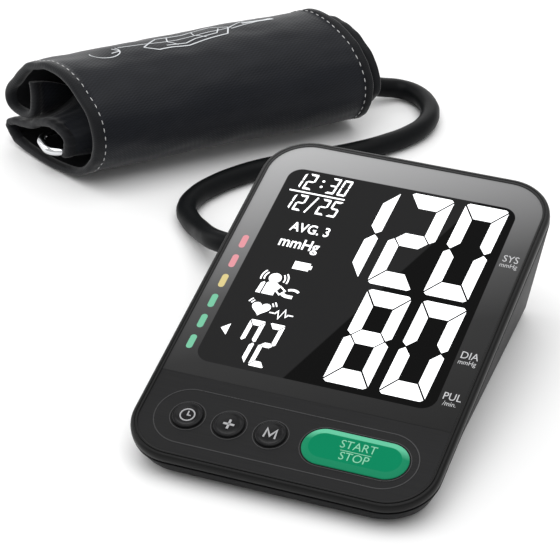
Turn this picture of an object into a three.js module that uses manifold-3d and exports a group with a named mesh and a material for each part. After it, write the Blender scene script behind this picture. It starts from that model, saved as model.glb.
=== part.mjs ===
// Upper-arm blood pressure monitor: a wedge-shaped desk unit, its rolled arm cuff and the air hose
// that joins them. Millimetres, +Z up, +X to the unit's right, +Y towards its back edge.
import * as THREE from 'three';
import { mergeVertices } from 'three/addons/utils/BufferGeometryUtils.js';
import Module from 'manifold-3d';

const wasm = await Module();
wasm.setup();

// ---- driving dimensions -----------------------------------------------------------------------
const FACE_WIDTH = 94;                  // the sloping face inside the rim
const FACE_LENGTH = 135.7;              // down the slope, back edge to front edge
const FACE_TILT = THREE.MathUtils.degToRad(16);
const FACE_BACK_HEIGHT = 47;            // of the face's back edge above the table
const LENS_LENGTH = 105.1;              // the lens covers the upper part of the face
const PANEL_START = 105.5;              // the button panel covers the rest
const RIM = 2.5;                        // rim width round the face
const RIM_TOP = 0.5;                    // rim height over the face
const RIM_BOTTOM = -2.6;                // lower edge of the rim band
const SHELL_TOP = -3.1;                 // upper edge of the lower shell, below a shadow gap
const OUTER_RADIUS = 16;
const WALL = 2.2;
const FLOOR_BOTTOM = 0.8;
const FLOOR_TOP = 2.8;
const BASE_HALF_FRONT = 45.7;           // the walls draw in towards the base,
const BASE_HALF_BACK = 40.5;            // and most of all at the tall back
const BASE_BACK = 0.5;
const BASE_FRONT = -128.7;
const GAP = 0.3;                        // between pieces that touch

const LCD = { left: -40.1, right: 39.1, top: 11, bottom: 98.8 };
const BUTTON_ROW = 121;                 // distance of the button row down the slope
const ROUND_BUTTON_RADIUS = 4.9;
const ROUND_BUTTONS = { clock_button: -32.1, plus_button: -18.5, memory_button: -4.9 };
const START_BUTTON = { centre: 22.1, halfLength: 16.8, halfWidth: 6.9, crownInset: 0.8 };
const BUTTON_TOP = 0.9;
const BUTTON_BASE = -2.2;
const STEM_END = -2.9;                  // where a button's stem meets the membrane
const PLATE_THICKNESS = 1.5;            // of the lens and the button panel
const BUTTON_GAP = 0.35;                // all round each button
const STATUS_LIGHTS = { across: -42.6, first: 47.3, pitch: 9, length: 5.8, width: 2.1, count: 6 };

// Heights of the layers under the face, [lower, upper].
const LAYERS = {
  lcd: [-5, -2.9], backlight: [-6.5, -5.3], board: [-8.4, -6.8],
  membrane: [-5.4, -4.6], dome: [-5, -4], keyBoard: [-7, -5.7], buzzer: [-11.6, -8.7],
};

const SCREWS = [[-32.5, -6.4], [32.5, -6.4], [-38, -104.4], [38, -104.4]];
const SCREW = { pad: 3.9, head: 2.6, shank: 1.2, seat: 1.2, headTop: 2.7, padTop: 4, tip: 11.5 };
const FEET = [[-34, -19], [34, -19], [-34, -117], [34, -117]];
const FOOT = { radius: 4.2, height: 1.1, seat: 1.4 };
const DOOR = { left: -17, right: 28, front: -54, height: 8.2 };
const CELL = { radius: 5.2, length: 44.4, pitch: 10.9, count: 4, cap: 1.9, capHeight: 1.2 };
const TRAY = { left: -19.2, right: 29, back: -9, front: -55.4, top: 16 };
const PUMP = { x: -29.6, z: 12.6, radius: 9, back: -22.5, headLength: 14, motorLength: 18 };
const PORT = { y: -15, z: 12, radius: 4.9 };     // where the hose plugs into the left wall
const SOCKET = { bore: 2.4, body: 4.5, flange: 5.6, spigot: 3.4, wall: 4, shoulder: 5.2, length: 9 };

const HOSE_DIAMETER = 7.5;
const ROLL = {
  x: -110.3, y: 68.2, turn: THREE.MathUtils.degToRad(44.7),
  halfLength: 55, halfDepth: 26, halfHeight: 21.3, skew: 0.3,
};
const CLOTH = 1.6;
const BLADDER = 1.8;
const RING = { wire: 1.6, near: -6, far: 8, left: -58, right: 26, z: 10.4, bend: 5 };

// ---- looks ------------------------------------------------------------------------------------
const look = (color, roughness, metalness = 0) => ({ color, roughness, metalness });
const LOOKS = {
  blackCase: look(0x141416, 0.55),
  greyRim: look(0x55565a, 0.4),
  lens: look(0x1b1c1f, 0.08),
  lcd: look(0x08090a, 0.2),
  backlight: look(0xe8ecef, 0.5),
  panel: look(0x1c1c1f, 0.45),
  button: look(0x18181a, 0.35),
  green: look(0x008a5c, 0.35),
  red: look(0xe58a94, 0.5),
  yellow: look(0xe8cc7a, 0.5),
  lightGreen: look(0x6cc89a, 0.5),
  circuit: look(0x14532d, 0.6),
  rubber: look(0x17181a, 0.7),
  steel: look(0xb8bcc0, 0.3, 1),
  cell: look(0x3f5f86, 0.4, 0.3),
  white: look(0xd8d8d4, 0.6),
  nylon: look(0x1e2024, 0.7),
  lining: look(0x17181b, 0.85),
  chrome: look(0xd9dbde, 0.12, 1),
};

// ---- helpers ----------------------------------------------------------------------------------
const faceFrame = new THREE.Matrix4()
  .makeTranslation(0, 0, FACE_BACK_HEIGHT)
  .multiply(new THREE.Matrix4().makeRotationX(FACE_TILT));
const faceInverse = faceFrame.clone().invert();

function toSolid(geometry) {
  const bare = geometry.index ? geometry.toNonIndexed() : geometry.clone();
  bare.deleteAttribute('normal');
  bare.deleteAttribute('uv');
  const merged = mergeVertices(bare, 1e-4);
  return new wasm.Manifold(new wasm.Mesh({
    numProp: 3,
    vertProperties: new Float32Array(merged.attributes.position.array),
    triVerts: new Uint32Array(merged.index.array),
  }));
}

function toGeometry(solid) {
  const data = solid.getMesh();
  const geometry = new THREE.BufferGeometry();
  geometry.setAttribute('position', new THREE.BufferAttribute(data.vertProperties, 3));
  geometry.setIndex(new THREE.BufferAttribute(data.triVerts, 1));
  return geometry;
}

// Joins the first group of shapes and cuts the second group out of them.
function shaped(added, removed = []) {
  let solid = toSolid(added[0]);
  for (const piece of added.slice(1)) solid = solid.add(toSolid(piece));
  for (const piece of removed) solid = solid.subtract(toSolid(piece));
  return toGeometry(solid);
}

function piece(name, geometry, finish) {
  const material = new THREE.MeshStandardMaterial(finish);
  const mesh = new THREE.Mesh(geometry, material);
  mesh.name = name;
  return mesh;
}

// Rounded rectangle on the face: across from left to right, and from back to front down the slope.
function faceShape(left, right, back, front, backRadius, frontRadius = backRadius) {
  const shape = new THREE.Shape();
  const quarter = Math.PI / 2;
  const corner = (x, y, radius, start) => {
    if (radius) shape.absarc(x, y, radius, start, start + quarter);
  };
  shape.moveTo(left + frontRadius, -front);
  shape.lineTo(right - frontRadius, -front);
  corner(right - frontRadius, frontRadius - front, frontRadius, -quarter);
  shape.lineTo(right, -back - backRadius);
  corner(right - backRadius, -back - backRadius, backRadius, 0);
  shape.lineTo(left + backRadius, -back);
  corner(left + backRadius, -back - backRadius, backRadius, quarter);
  shape.lineTo(left, frontRadius - front);
  corner(left + frontRadius, frontRadius - front, frontRadius, 2 * quarter);
  return shape;
}

// The start button's outline, grown on every side; the ends stop just short of full half circles.
function startShape(grow) {
  const halfLength = START_BUTTON.halfLength + grow;
  const halfWidth = START_BUTTON.halfWidth + grow;
  return faceShape(START_BUTTON.centre - halfLength, START_BUTTON.centre + halfLength,
    BUTTON_ROW - halfWidth, BUTTON_ROW + halfWidth, halfWidth - 0.01);
}

const slab = (shape, low, high, segments = 5) => new THREE.ExtrudeGeometry(shape, {
  depth: high - low, bevelEnabled: false, curveSegments: segments,
}).translate(0, 0, low);

const box = (x0, x1, y0, y1, z0, z1) => new THREE.BoxGeometry(x1 - x0, y1 - y0, z1 - z0)
  .translate((x0 + x1) / 2, (y0 + y1) / 2, (z0 + z1) / 2);

// Upright cylinder at x, y, from low to high.
const post = (x, y, radius, low, high, sides = 14) => new THREE
  .CylinderGeometry(radius, radius, high - low, sides)
  .rotateX(Math.PI / 2)
  .translate(x, y, (low + high) / 2);

// Turned solid from a profile of [radius, height] points, axis along +Z.
const turned = (profile, sides = 16) => new THREE.LatheGeometry(
  profile.map(([radius, height]) => new THREE.Vector2(radius, height)), sides,
).rotateX(Math.PI / 2);

function outline(inset) {
  const half = FACE_WIDTH / 2 + RIM - inset;
  return faceShape(-half, half, inset - RIM, FACE_LENGTH + RIM - inset, OUTER_RADIUS - inset);
}

const baseReach = (share) => BASE_BACK + share * (BASE_FRONT - BASE_BACK);
const baseHalf = (share) => BASE_HALF_BACK + share * (BASE_HALF_FRONT - BASE_HALF_BACK);

// The wedge that the lower shell is cut from: an outline at the parting line, drawn in to the base.
function wedge(inset, bottom, top) {
  const geometry = slab(outline(inset), 0, 1);
  const position = geometry.attributes.position;
  const point = new THREE.Vector3();
  const half = FACE_WIDTH / 2 + RIM;
  const faceSpan = FACE_LENGTH + 2 * RIM;
  for (let i = 0; i < position.count; i += 1) {
    const across = position.getX(i);
    const along = position.getY(i);
    if (position.getZ(i) > 0.5) {
      point.set(across, along, top).applyMatrix4(faceFrame);
    } else {
      const share = (RIM - along) / faceSpan;
      point.set(across * (baseHalf(share) / half), baseReach(share), bottom);
    }
    position.setXYZ(i, point.x, point.y, point.z);
  }
  return geometry;
}

// ---- the desk unit: shells --------------------------------------------------------------------
const unit = new THREE.Group();
const face = new THREE.Group();
face.position.z = FACE_BACK_HEIGHT;
face.rotation.x = FACE_TILT;
unit.add(face);

// The locating tongue runs down inside the lower shell and stops where the front wall gets low.
const TONGUE = { outer: 3.5, inner: 4.6, bottom: -4.6, length: 112 };
const FRAME_TOP = -1.8;                 // the ledge that carries the lens and the button panel
const portBase = baseHalf((BASE_BACK - PORT.y) / (BASE_BACK - BASE_FRONT));
const portTop = FACE_BACK_HEIGHT + PORT.y * Math.tan(FACE_TILT) + SHELL_TOP;
const portWall = -portBase
  - (FACE_WIDTH / 2 + RIM - portBase) * ((PORT.z - FLOOR_BOTTOM) / (portTop - FLOOR_BOTTOM));
const alongX = (geometry) => geometry.rotateY(Math.PI / 2);

function lowerHousing() {
  const inside = wedge(WALL, FLOOR_TOP, SHELL_TOP + 1);
  const doorway = box(DOOR.left, DOOR.right, DOOR.front, 10, -1, FLOOR_TOP + 0.2);
  const doorStep = box(DOOR.left, DOOR.right, -4, 10, -1, DOOR.height + GAP);
  const port = alongX(post(0, 0, PORT.radius, -6, 6, 20)).translate(portWall, PORT.y, PORT.z);
  const seats = FEET.map(([x, y]) => post(x, y, FOOT.radius + GAP, -1, FOOT.seat));
  const shell = shaped([wedge(0, FLOOR_BOTTOM, SHELL_TOP)], [inside, doorway, doorStep, port, ...seats]);
  const pads = SCREWS.map(([x, y]) => post(x, y, SCREW.pad, FLOOR_BOTTOM + 0.1, SCREW.padTop));
  const bores = SCREWS.map(([x, y]) => post(x, y, SCREW.shank + GAP, -1, SCREW.padTop + 1));
  const counterbores = SCREWS.map(([x, y]) => post(x, y, SCREW.head + 0.4, -1, SCREW.headTop + GAP));
  return shaped([shell, ...pads], [...bores, ...counterbores]);
}

function upperHousing() {
  const below = RIM_BOTTOM - 1;
  const window = faceShape(LCD.left - 0.4, LCD.right + 1.4, LCD.top - 0.4, LCD.bottom + 2, 1);
  const cuts = [slab(outline(RIM - 0.15), FRAME_TOP, 2), slab(window, below, -1)];
  for (const across of Object.values(ROUND_BUTTONS)) {
    cuts.push(post(across, -BUTTON_ROW, ROUND_BUTTON_RADIUS + 2 * BUTTON_GAP, below, -1));
  }
  cuts.push(slab(startShape(2 * BUTTON_GAP), below, -1));
  const frame = shaped([slab(outline(0), RIM_BOTTOM, RIM_TOP)], cuts);
  const pastTongue = box(-FACE_WIDTH, FACE_WIDTH, -FACE_LENGTH - 10, -TONGUE.length, -8, RIM_BOTTOM);
  const tongue = shaped([slab(outline(TONGUE.outer), TONGUE.bottom, RIM_BOTTOM + 0.2)],
    [slab(outline(TONGUE.inner), TONGUE.bottom - 1, 0), pastTongue]);
  const bosses = [];
  const threads = [];
  for (const [x, y] of SCREWS) {
    const top = FACE_BACK_HEIGHT + y * Math.tan(FACE_TILT) - 2.2 / Math.cos(FACE_TILT);
    bosses.push(post(x, y, 2.5, SCREW.padTop + GAP, top).applyMatrix4(faceInverse));
    threads.push(post(x, y, SCREW.shank + GAP, 0, SCREW.tip + 0.6).applyMatrix4(faceInverse));
  }
  return shaped([frame, tongue, ...bosses], threads);
}

unit.add(piece('lower_housing', lowerHousing(), LOOKS.blackCase));
face.add(piece('upper_housing', upperHousing(), LOOKS.greyRim));

// ---- the desk unit: face, screen and buttons --------------------------------------------------
const FIT = 0.2;                        // between the lens or the button panel and the rim
const faceHalf = FACE_WIDTH / 2 - FIT;
const faceRadius = OUTER_RADIUS - RIM - GAP;

function lightPlace(index) {
  return STATUS_LIGHTS.first + index * STATUS_LIGHTS.pitch;
}

function lightShape(index, grow) {
  const halfWidth = STATUS_LIGHTS.width / 2 + grow;
  const halfLength = STATUS_LIGHTS.length / 2 + grow;
  const middle = lightPlace(index);
  return faceShape(STATUS_LIGHTS.across - halfWidth, STATUS_LIGHTS.across + halfWidth,
    middle - halfLength, middle + halfLength, halfWidth - 0.01);
}

const lensShape = faceShape(-faceHalf, faceHalf, FIT, LENS_LENGTH, faceRadius, 0);
const lensSlots = [];
for (let i = 0; i < STATUS_LIGHTS.count; i += 1) lensSlots.push(slab(lightShape(i, GAP), -3, 1, 3));
face.add(piece('display_lens', shaped([slab(lensShape, -PLATE_THICKNESS, 0)], lensSlots), LOOKS.lens));

const { red, yellow, lightGreen } = LOOKS;
[red, red, yellow, lightGreen, lightGreen, lightGreen].forEach((finish, index) => {
  const bar = slab(lightShape(index, 0), -PLATE_THICKNESS, 0.02, 3);
  face.add(piece(`status_light_${index + 1}`, bar, finish));
});

const panelShape = faceShape(-faceHalf, faceHalf, PANEL_START, FACE_LENGTH - FIT, 0, faceRadius);
const panelHoles = Object.values(ROUND_BUTTONS)
  .map((across) => post(across, -BUTTON_ROW, ROUND_BUTTON_RADIUS + BUTTON_GAP, -3, 1));
panelHoles.push(slab(startShape(BUTTON_GAP), -3, 1));
face.add(piece('button_panel', shaped([slab(panelShape, -PLATE_THICKNESS, 0)], panelHoles), LOOKS.panel));

for (const [name, across] of Object.entries(ROUND_BUTTONS)) {
  const radius = ROUND_BUTTON_RADIUS;
  const cap = turned([
    [0, STEM_END], [2, STEM_END], [2, BUTTON_BASE], [radius, BUTTON_BASE], [radius, BUTTON_TOP - 0.4],
    [radius - 0.4, BUTTON_TOP], [radius - 1.1, BUTTON_TOP], [radius / 2, 0.5], [0, 0.4],
  ], 18);
  const button = piece(name, cap, LOOKS.button);
  button.position.set(across, -BUTTON_ROW, 0);
  face.add(button);
}
const startBody = slab(startShape(0), BUTTON_BASE, BUTTON_TOP - 0.3);
const startCrown = slab(startShape(-START_BUTTON.crownInset), 0, BUTTON_TOP);
const startStem = post(START_BUTTON.centre, -BUTTON_ROW, 2.4, STEM_END, -1);
face.add(piece('start_button', shaped([startBody, startCrown, startStem]), LOOKS.green));

// A plate under the face, as wide on both sides of the middle, between two places down the slope.
const layer = (half, back, front, heights) => box(-half, half, -front, -back, ...heights);
face.add(piece('lcd_panel', layer(41.5, 11.2, 103, LAYERS.lcd), LOOKS.lcd));
face.add(piece('lcd_backlight', layer(41, 11.6, 102.6, LAYERS.backlight), LOOKS.backlight));
face.add(piece('main_board', layer(42, 12.2, 104, LAYERS.board), LOOKS.circuit));
const domes = [...Object.values(ROUND_BUTTONS), START_BUTTON.centre]
  .map((across) => post(across, -BUTTON_ROW, 2.8, ...LAYERS.dome, 12));
const membrane = layer(40, 113.8, 129, LAYERS.membrane);
face.add(piece('keypad_membrane', shaped([membrane, ...domes]), LOOKS.rubber));
face.add(piece('key_board', layer(39.5, 114.2, 128.4, LAYERS.keyBoard), LOOKS.circuit));
face.add(piece('pressure_sensor', box(0, 9, -69, -60, -12.2, -8.7), LOOKS.white));
face.add(piece('buzzer', post(25, -85, 4.5, ...LAYERS.buzzer, 16), LOOKS.rubber));

// ---- the desk unit: air supply ----------------------------------------------------------------
const socket = alongX(turned([
  [SOCKET.bore, 0], [SOCKET.body, 0], [SOCKET.body, SOCKET.wall], [SOCKET.flange, SOCKET.wall],
  [SOCKET.flange, SOCKET.shoulder], [SOCKET.spigot, SOCKET.shoulder], [SOCKET.spigot, SOCKET.length],
  [SOCKET.bore, SOCKET.length], [SOCKET.bore, 0],
])).translate(portWall, PORT.y, PORT.z);
unit.add(piece('air_socket', socket, LOOKS.rubber));

const headFront = PUMP.back - PUMP.headLength;
const headTop = PUMP.z + PUMP.radius - 1;
const head = box(PUMP.x - PUMP.radius, PUMP.x + PUMP.radius, headFront, PUMP.back,
  PUMP.z - PUMP.radius, headTop);
unit.add(piece('pump_head', head, LOOKS.white));
const motor = turned([
  [0, 0], [PUMP.radius, 0], [PUMP.radius, PUMP.motorLength], [2, PUMP.motorLength],
  [2, PUMP.motorLength + 2], [0, PUMP.motorLength + 2],
]).rotateX(Math.PI / 2).translate(PUMP.x, headFront - GAP, PUMP.z);
unit.add(piece('pump_motor', motor, LOOKS.steel));
const valve = box(PUMP.x - 5, PUMP.x + 5, headFront + 1, PUMP.back - 1, headTop + GAP, headTop + 6.5);
unit.add(piece('exhaust_valve', valve, LOOKS.rubber));

function tube(points, radius, sides, steps) {
  const places = points.map((point) => new THREE.Vector3(...point));
  const path = new THREE.CatmullRomCurve3(places, false, 'centripetal');
  const section = new THREE.Shape();
  for (let i = 0; i < sides; i += 1) {
    const angle = (i / sides) * Math.PI * 2;
    const corner = [Math.cos(angle) * radius, Math.sin(angle) * radius];
    if (i) section.lineTo(...corner);
    else section.moveTo(...corner);
  }
  return new THREE.ExtrudeGeometry(section, { steps, extrudePath: path, bevelEnabled: false });
}

const tubeStart = portWall + SOCKET.length + GAP;
const tubeRoute = [
  [tubeStart, PORT.y, PORT.z], [tubeStart + 1.2, PORT.y, PORT.z],
  [PUMP.x, PORT.y - 3.6, PORT.z + 0.6], [PUMP.x, PUMP.back + GAP, PORT.z + 0.8],
];
unit.add(piece('internal_air_tube', tube(tubeRoute, 1.7, 8, 10), LOOKS.rubber));

// ---- the desk unit: battery bay ---------------------------------------------------------------
unit.add(piece('battery_tray', shaped(
  [box(TRAY.left, TRAY.right, TRAY.front, TRAY.back, FLOOR_TOP + GAP, TRAY.top)],
  [box(TRAY.left + 1, TRAY.right - 1, TRAY.front + 1, TRAY.back - 1, 0, TRAY.top - 1.2)],
), LOOKS.blackCase));

const cellMiddle = (TRAY.left + TRAY.right) / 2;
const firstCell = (TRAY.back + TRAY.front) / 2 + CELL.pitch * (CELL.count - 1) / 2;
const cellHeight = FLOOR_TOP + 2 * GAP + CELL.radius;
for (let i = 0; i < CELL.count; i += 1) {
  const half = CELL.length / 2 - 3 * GAP;
  const shoulder = half - CELL.capHeight;
  const cell = alongX(turned([
    [0, -half], [CELL.radius, -half], [CELL.radius, shoulder],
    [CELL.cap, shoulder], [CELL.cap, half], [0, half],
  ]));
  const battery = piece(`battery_${i + 1}`, cell, LOOKS.cell);
  battery.rotation.z = i % 2 ? Math.PI : 0;
  battery.position.set(cellMiddle, firstCell - i * CELL.pitch, cellHeight);
  unit.add(battery);
}

// A sprung strip across the cells' ends with one boss for each; side is -1 at the left and 1 at the right.
function contact(x, side) {
  const strip = box(x - 0.2, x + 0.2, TRAY.front + 3, TRAY.back - 3, 5, 12.5);
  const bosses = [];
  for (let i = 0; i < CELL.count; i += 1) {
    bosses.push(new THREE.CylinderGeometry(1.6, 2.2, 0.6, 12).rotateZ(side * Math.PI / 2)
      .translate(x - side * 0.4, firstCell - i * CELL.pitch, cellHeight));
  }
  return shaped([strip, ...bosses]);
}
unit.add(piece('battery_contact_left', contact(TRAY.left + 1.5, -1), LOOKS.steel));
unit.add(piece('battery_contact_right', contact(TRAY.right - 1.5, 1), LOOKS.steel));

unit.add(piece('battery_door', shaped([
  box(DOOR.left + GAP, DOOR.right - GAP, DOOR.front + GAP, BASE_BACK, FLOOR_BOTTOM, FLOOR_TOP - 0.1),
  box(DOOR.left + GAP, DOOR.right - GAP, BASE_BACK - 2, BASE_BACK, FLOOR_BOTTOM, DOOR.height),
  box(-2, 13, BASE_BACK - 1, BASE_BACK + 0.8, 5.4, 6.6),
]), LOOKS.blackCase));

FEET.forEach(([x, y], index) => {
  unit.add(piece(`rubber_foot_${index + 1}`, post(x, y, FOOT.radius, 0, FOOT.height, 20), LOOKS.rubber));
});
SCREWS.forEach(([x, y], index) => {
  const body = turned([
    [0, SCREW.seat], [SCREW.head, SCREW.seat], [SCREW.head, SCREW.headTop], [SCREW.shank, SCREW.headTop],
    [SCREW.shank, SCREW.tip - 1], [0, SCREW.tip],
  ], 12);
  const screw = piece(`case_screw_${index + 1}`, body, LOOKS.steel);
  screw.position.set(x, y, 0);
  unit.add(screw);
});

// ---- the arm cuff, rolled up ------------------------------------------------------------------
// In the roll's own frame x runs along the roll, y away from its front and z up.
const roll = new THREE.Group();
roll.position.set(ROLL.x, ROLL.y, 0);
roll.rotation.z = ROLL.turn;

// Turns a cross-section drawn in y, z into a bar along x with ends cut on the skew.
function rolled(shape, from, to, segments) {
  const geometry = slab(shape, from, to, segments);
  geometry.applyMatrix4(new THREE.Matrix4().makeBasis(
    new THREE.Vector3(0, 1, 0), new THREE.Vector3(0, 0, 1), new THREE.Vector3(1, 0, 0),
  ));
  return geometry.applyMatrix4(new THREE.Matrix4().makeShear(0, 0, -ROLL.skew, 0, 0, 0));
}

function band(centreY, centreZ, halfDepth, halfHeight, thickness, fromDegrees, toDegrees) {
  const start = THREE.MathUtils.degToRad(fromDegrees);
  const end = THREE.MathUtils.degToRad(toDegrees);
  const shape = new THREE.Shape();
  shape.absellipse(centreY, centreZ, halfDepth, halfHeight, start, end, false);
  shape.absellipse(centreY, centreZ, halfDepth - thickness, halfHeight - thickness, end, start, true);
  return shape;
}

// A layer of the roll at a depth below its outer surface, wound from one angle to another.
const wound = (depth, thickness, from, to) => band(0, ROLL.halfHeight,
  ROLL.halfDepth - depth, ROLL.halfHeight - depth, thickness, from, to);
const END = ROLL.halfLength;
const bladderDepth = CLOTH + GAP;
const liningDepth = bladderDepth + BLADDER + GAP;
const patchDepth = liningDepth + CLOTH + GAP;
const outerCloth = rolled(wound(0, CLOTH, 60, 405), -END, END, 40);
const bladder = rolled(wound(bladderDepth, BLADDER, 75, 400), -END + 8, END - 8, 32);
const lining = rolled(wound(liningDepth, CLOTH, 65, 410), -END + 1, END + 3, 36);
const innerFold = rolled(band(-2, 24, 14.5, 11, 3, -20, 215), -END - 2, END - 6, 20);
roll.add(piece('cuff_outer_cloth', outerCloth, LOOKS.nylon));
roll.add(piece('cuff_bladder', bladder, LOOKS.rubber));
roll.add(piece('cuff_lining', lining, LOOKS.lining));
roll.add(piece('cuff_inner_fold', innerFold, LOOKS.nylon));
roll.add(piece('hook_patch', rolled(wound(patchDepth, 1, 20, 62), -30, 30, 8), LOOKS.lining));

const channelSection = new THREE.Shape();
channelSection.absarc(RING.near, RING.z, RING.wire + 1.2, 0, Math.PI * 2);
const channelHole = new THREE.Path();
channelHole.absarc(RING.near, RING.z, RING.wire + 0.3, 0, Math.PI * 2);
channelSection.holes.push(channelHole);
roll.add(piece('ring_channel', rolled(channelSection, -36, 14, 12), LOOKS.nylon));

// A wire bent into a long rectangle with rounded corners; its ends butt inside the channel.
function wireRing() {
  const { left, right, near, far, bend } = RING;
  const path = new THREE.CurvePath();
  const at = (x, y) => new THREE.Vector3(x, y, RING.z);
  const corners = [[right, near], [right, far], [left, far], [left, near]];
  const ways = [[1, 0], [0, 1], [-1, 0], [0, -1], [1, 0]];
  let from = at(0, near);
  corners.forEach(([x, y], index) => {
    const [inX, inY] = ways[index];
    const [outX, outY] = ways[index + 1];
    const before = at(x - inX * bend, y - inY * bend);
    const after = at(x + outX * bend, y + outY * bend);
    path.add(new THREE.LineCurve3(from, before));
    path.add(new THREE.QuadraticBezierCurve3(before, at(x, y), after));
    from = after;
  });
  path.add(new THREE.LineCurve3(from, at(-GAP, near)));
  const section = new THREE.Shape();
  section.absarc(0, 0, RING.wire, 0, Math.PI * 2);
  return new THREE.ExtrudeGeometry(section, {
    steps: 60, extrudePath: path, bevelEnabled: false, curveSegments: 3,
  });
}
roll.add(piece('d_ring', wireRing(), LOOKS.chrome));

// ---- the air hose -----------------------------------------------------------------------------
const HOSE_LIE = HOSE_DIAMETER / 2 + 0.2;
const PLUG_FACE = portWall - 1.7;      // clear of the wall, which leans out above the port
const PLUG = { length: 11, radius: 5.6, neck: 4.4, pin: 1.9, pinLength: 6.5 };
const PLUG_END = PLUG_FACE - PLUG.length;
const GROMMET = { length: 9, flange: 6, neck: 4.6 };
const HOSE_ROUTE = [
  [-80.2, 98, 13.5], [-75.2, 103, 13.4], [-68.6, 110.2, 12], [-61.4, 118.6, 8.8], [-55.4, 125.6, 6],
  [-49.4, 129.9, 4.3], [-42.6, 128.6, HOSE_LIE], [-36.4, 123, HOSE_LIE], [-32.4, 115.2, HOSE_LIE],
  [-31.4, 106, HOSE_LIE], [-34.2, 96, HOSE_LIE], [-40.2, 86.2, HOSE_LIE], [-46.8, 78.2, HOSE_LIE],
  [-55, 70.2, HOSE_LIE], [-65, 61.8, HOSE_LIE], [-74, 53.6, HOSE_LIE], [-81.2, 44.8, HOSE_LIE],
  [-87, 34.4, HOSE_LIE], [-90.2, 23.8, HOSE_LIE], [-89.4, 14.4, HOSE_LIE], [-84.2, 6.6, 4.4],
  [-77.6, -0.6, 6.2], [-72.2, -7, 8.6], [-66.6, -12.2, 10.8], [PLUG_END - GAP - 2, PORT.y, PORT.z],
  [PLUG_END - GAP, PORT.y, PORT.z],
];
const hose = piece('air_hose', tube(HOSE_ROUTE, HOSE_DIAMETER / 2, 8, 66), LOOKS.rubber);

const plugBody = alongX(turned([
  [0, -PLUG.length], [PLUG.neck, -PLUG.length], [5, -9.5], [PLUG.radius, -3], [PLUG.radius, 0],
  [PLUG.pin, 0], [PLUG.pin, PLUG.pinLength], [0, PLUG.pinLength],
]));
const plug = piece('air_plug', plugBody, LOOKS.rubber);
plug.position.set(PLUG_FACE, PORT.y, PORT.z);

const grommetBody = alongX(turned([
  [0, -GROMMET.length], [GROMMET.flange, -GROMMET.length], [GROMMET.flange, -7.5], [5, -6.5],
  [GROMMET.neck, 0], [0, 0],
]));
const grommet = piece('hose_grommet', grommetBody, LOOKS.rubber);
const [startX, startY, startZ] = HOSE_ROUTE[0];
grommet.rotation.z = ROLL.turn;
grommet.position.set(startX - GAP * Math.cos(ROLL.turn), startY - GAP * Math.sin(ROLL.turn), startZ);

// ---- the whole set, centred over its own footprint without the hose ---------------------------
const assembly = new THREE.Group();
assembly.add(unit, roll);
assembly.updateMatrixWorld(true);
const footprint = new THREE.Box3().setFromObject(assembly, true);
assembly.add(hose, plug, grommet);
assembly.position.set(
  -(footprint.min.x + footprint.max.x) / 2,
  -(footprint.min.y + footprint.max.y) / 2,
  -footprint.min.z,
);
assembly.updateMatrixWorld(true);

export default assembly;
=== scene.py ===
"""Looks of an upper-arm blood pressure monitor with its rolled cuff and air hose."""
import math

import bmesh
import bpy
from mathutils import Matrix, Vector, noise


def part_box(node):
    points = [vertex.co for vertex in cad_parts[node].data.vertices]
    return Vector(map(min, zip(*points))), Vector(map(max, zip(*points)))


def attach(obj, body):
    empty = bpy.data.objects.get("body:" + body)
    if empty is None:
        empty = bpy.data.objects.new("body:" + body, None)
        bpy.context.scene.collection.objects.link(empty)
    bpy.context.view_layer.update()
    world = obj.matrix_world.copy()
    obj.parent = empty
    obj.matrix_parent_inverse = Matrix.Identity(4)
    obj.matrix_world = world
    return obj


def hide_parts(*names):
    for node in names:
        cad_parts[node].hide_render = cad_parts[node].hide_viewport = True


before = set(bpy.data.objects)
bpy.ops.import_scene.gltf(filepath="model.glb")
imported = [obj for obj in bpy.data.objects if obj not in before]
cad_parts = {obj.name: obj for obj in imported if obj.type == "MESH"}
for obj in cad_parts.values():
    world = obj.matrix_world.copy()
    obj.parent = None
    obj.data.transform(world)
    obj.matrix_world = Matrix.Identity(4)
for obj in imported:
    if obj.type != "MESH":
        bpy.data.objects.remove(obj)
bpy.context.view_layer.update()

bl_info = {
    "name": "Blood Pressure Monitor",
    "version": (1, 0, 0),
    "blender": (4, 5, 0),
    "location": "View3D > Sidebar > Monitor",
    "description": "Builds the shells, keys, screen, cuff and hose of an upper-arm monitor",
    "category": "Object",
}

# ---- places taken from the frame -------------------------------------------------------------
MM = 0.001
FOOT_PLACE = Vector((-34.0, -19.0, 0.0)) * MM


def middle_of(node):
    low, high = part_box(node)
    return (Vector(low) + Vector(high)) / 2


foot = middle_of("rubber_foot_1")
ORIGIN = Vector((foot.x, foot.y, 0.0)) - FOOT_PLACE
FACE_TILT = math.radians(16)
FACE_BACK_HEIGHT = 47.0
ROLL_PLACE = Vector((-110.3, 68.2, 0.0)) * MM
ROLL_TURN = math.radians(44.7)
UNIT = Matrix.Translation(ORIGIN) @ Matrix.Scale(MM, 4)
FACE = UNIT @ Matrix.Translation((0, 0, FACE_BACK_HEIGHT)) @ Matrix.Rotation(FACE_TILT, 4, "X")
ROLL = Matrix.Translation(ORIGIN + ROLL_PLACE) @ Matrix.Rotation(ROLL_TURN, 4, "Z") @ Matrix.Scale(MM, 4)

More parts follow.
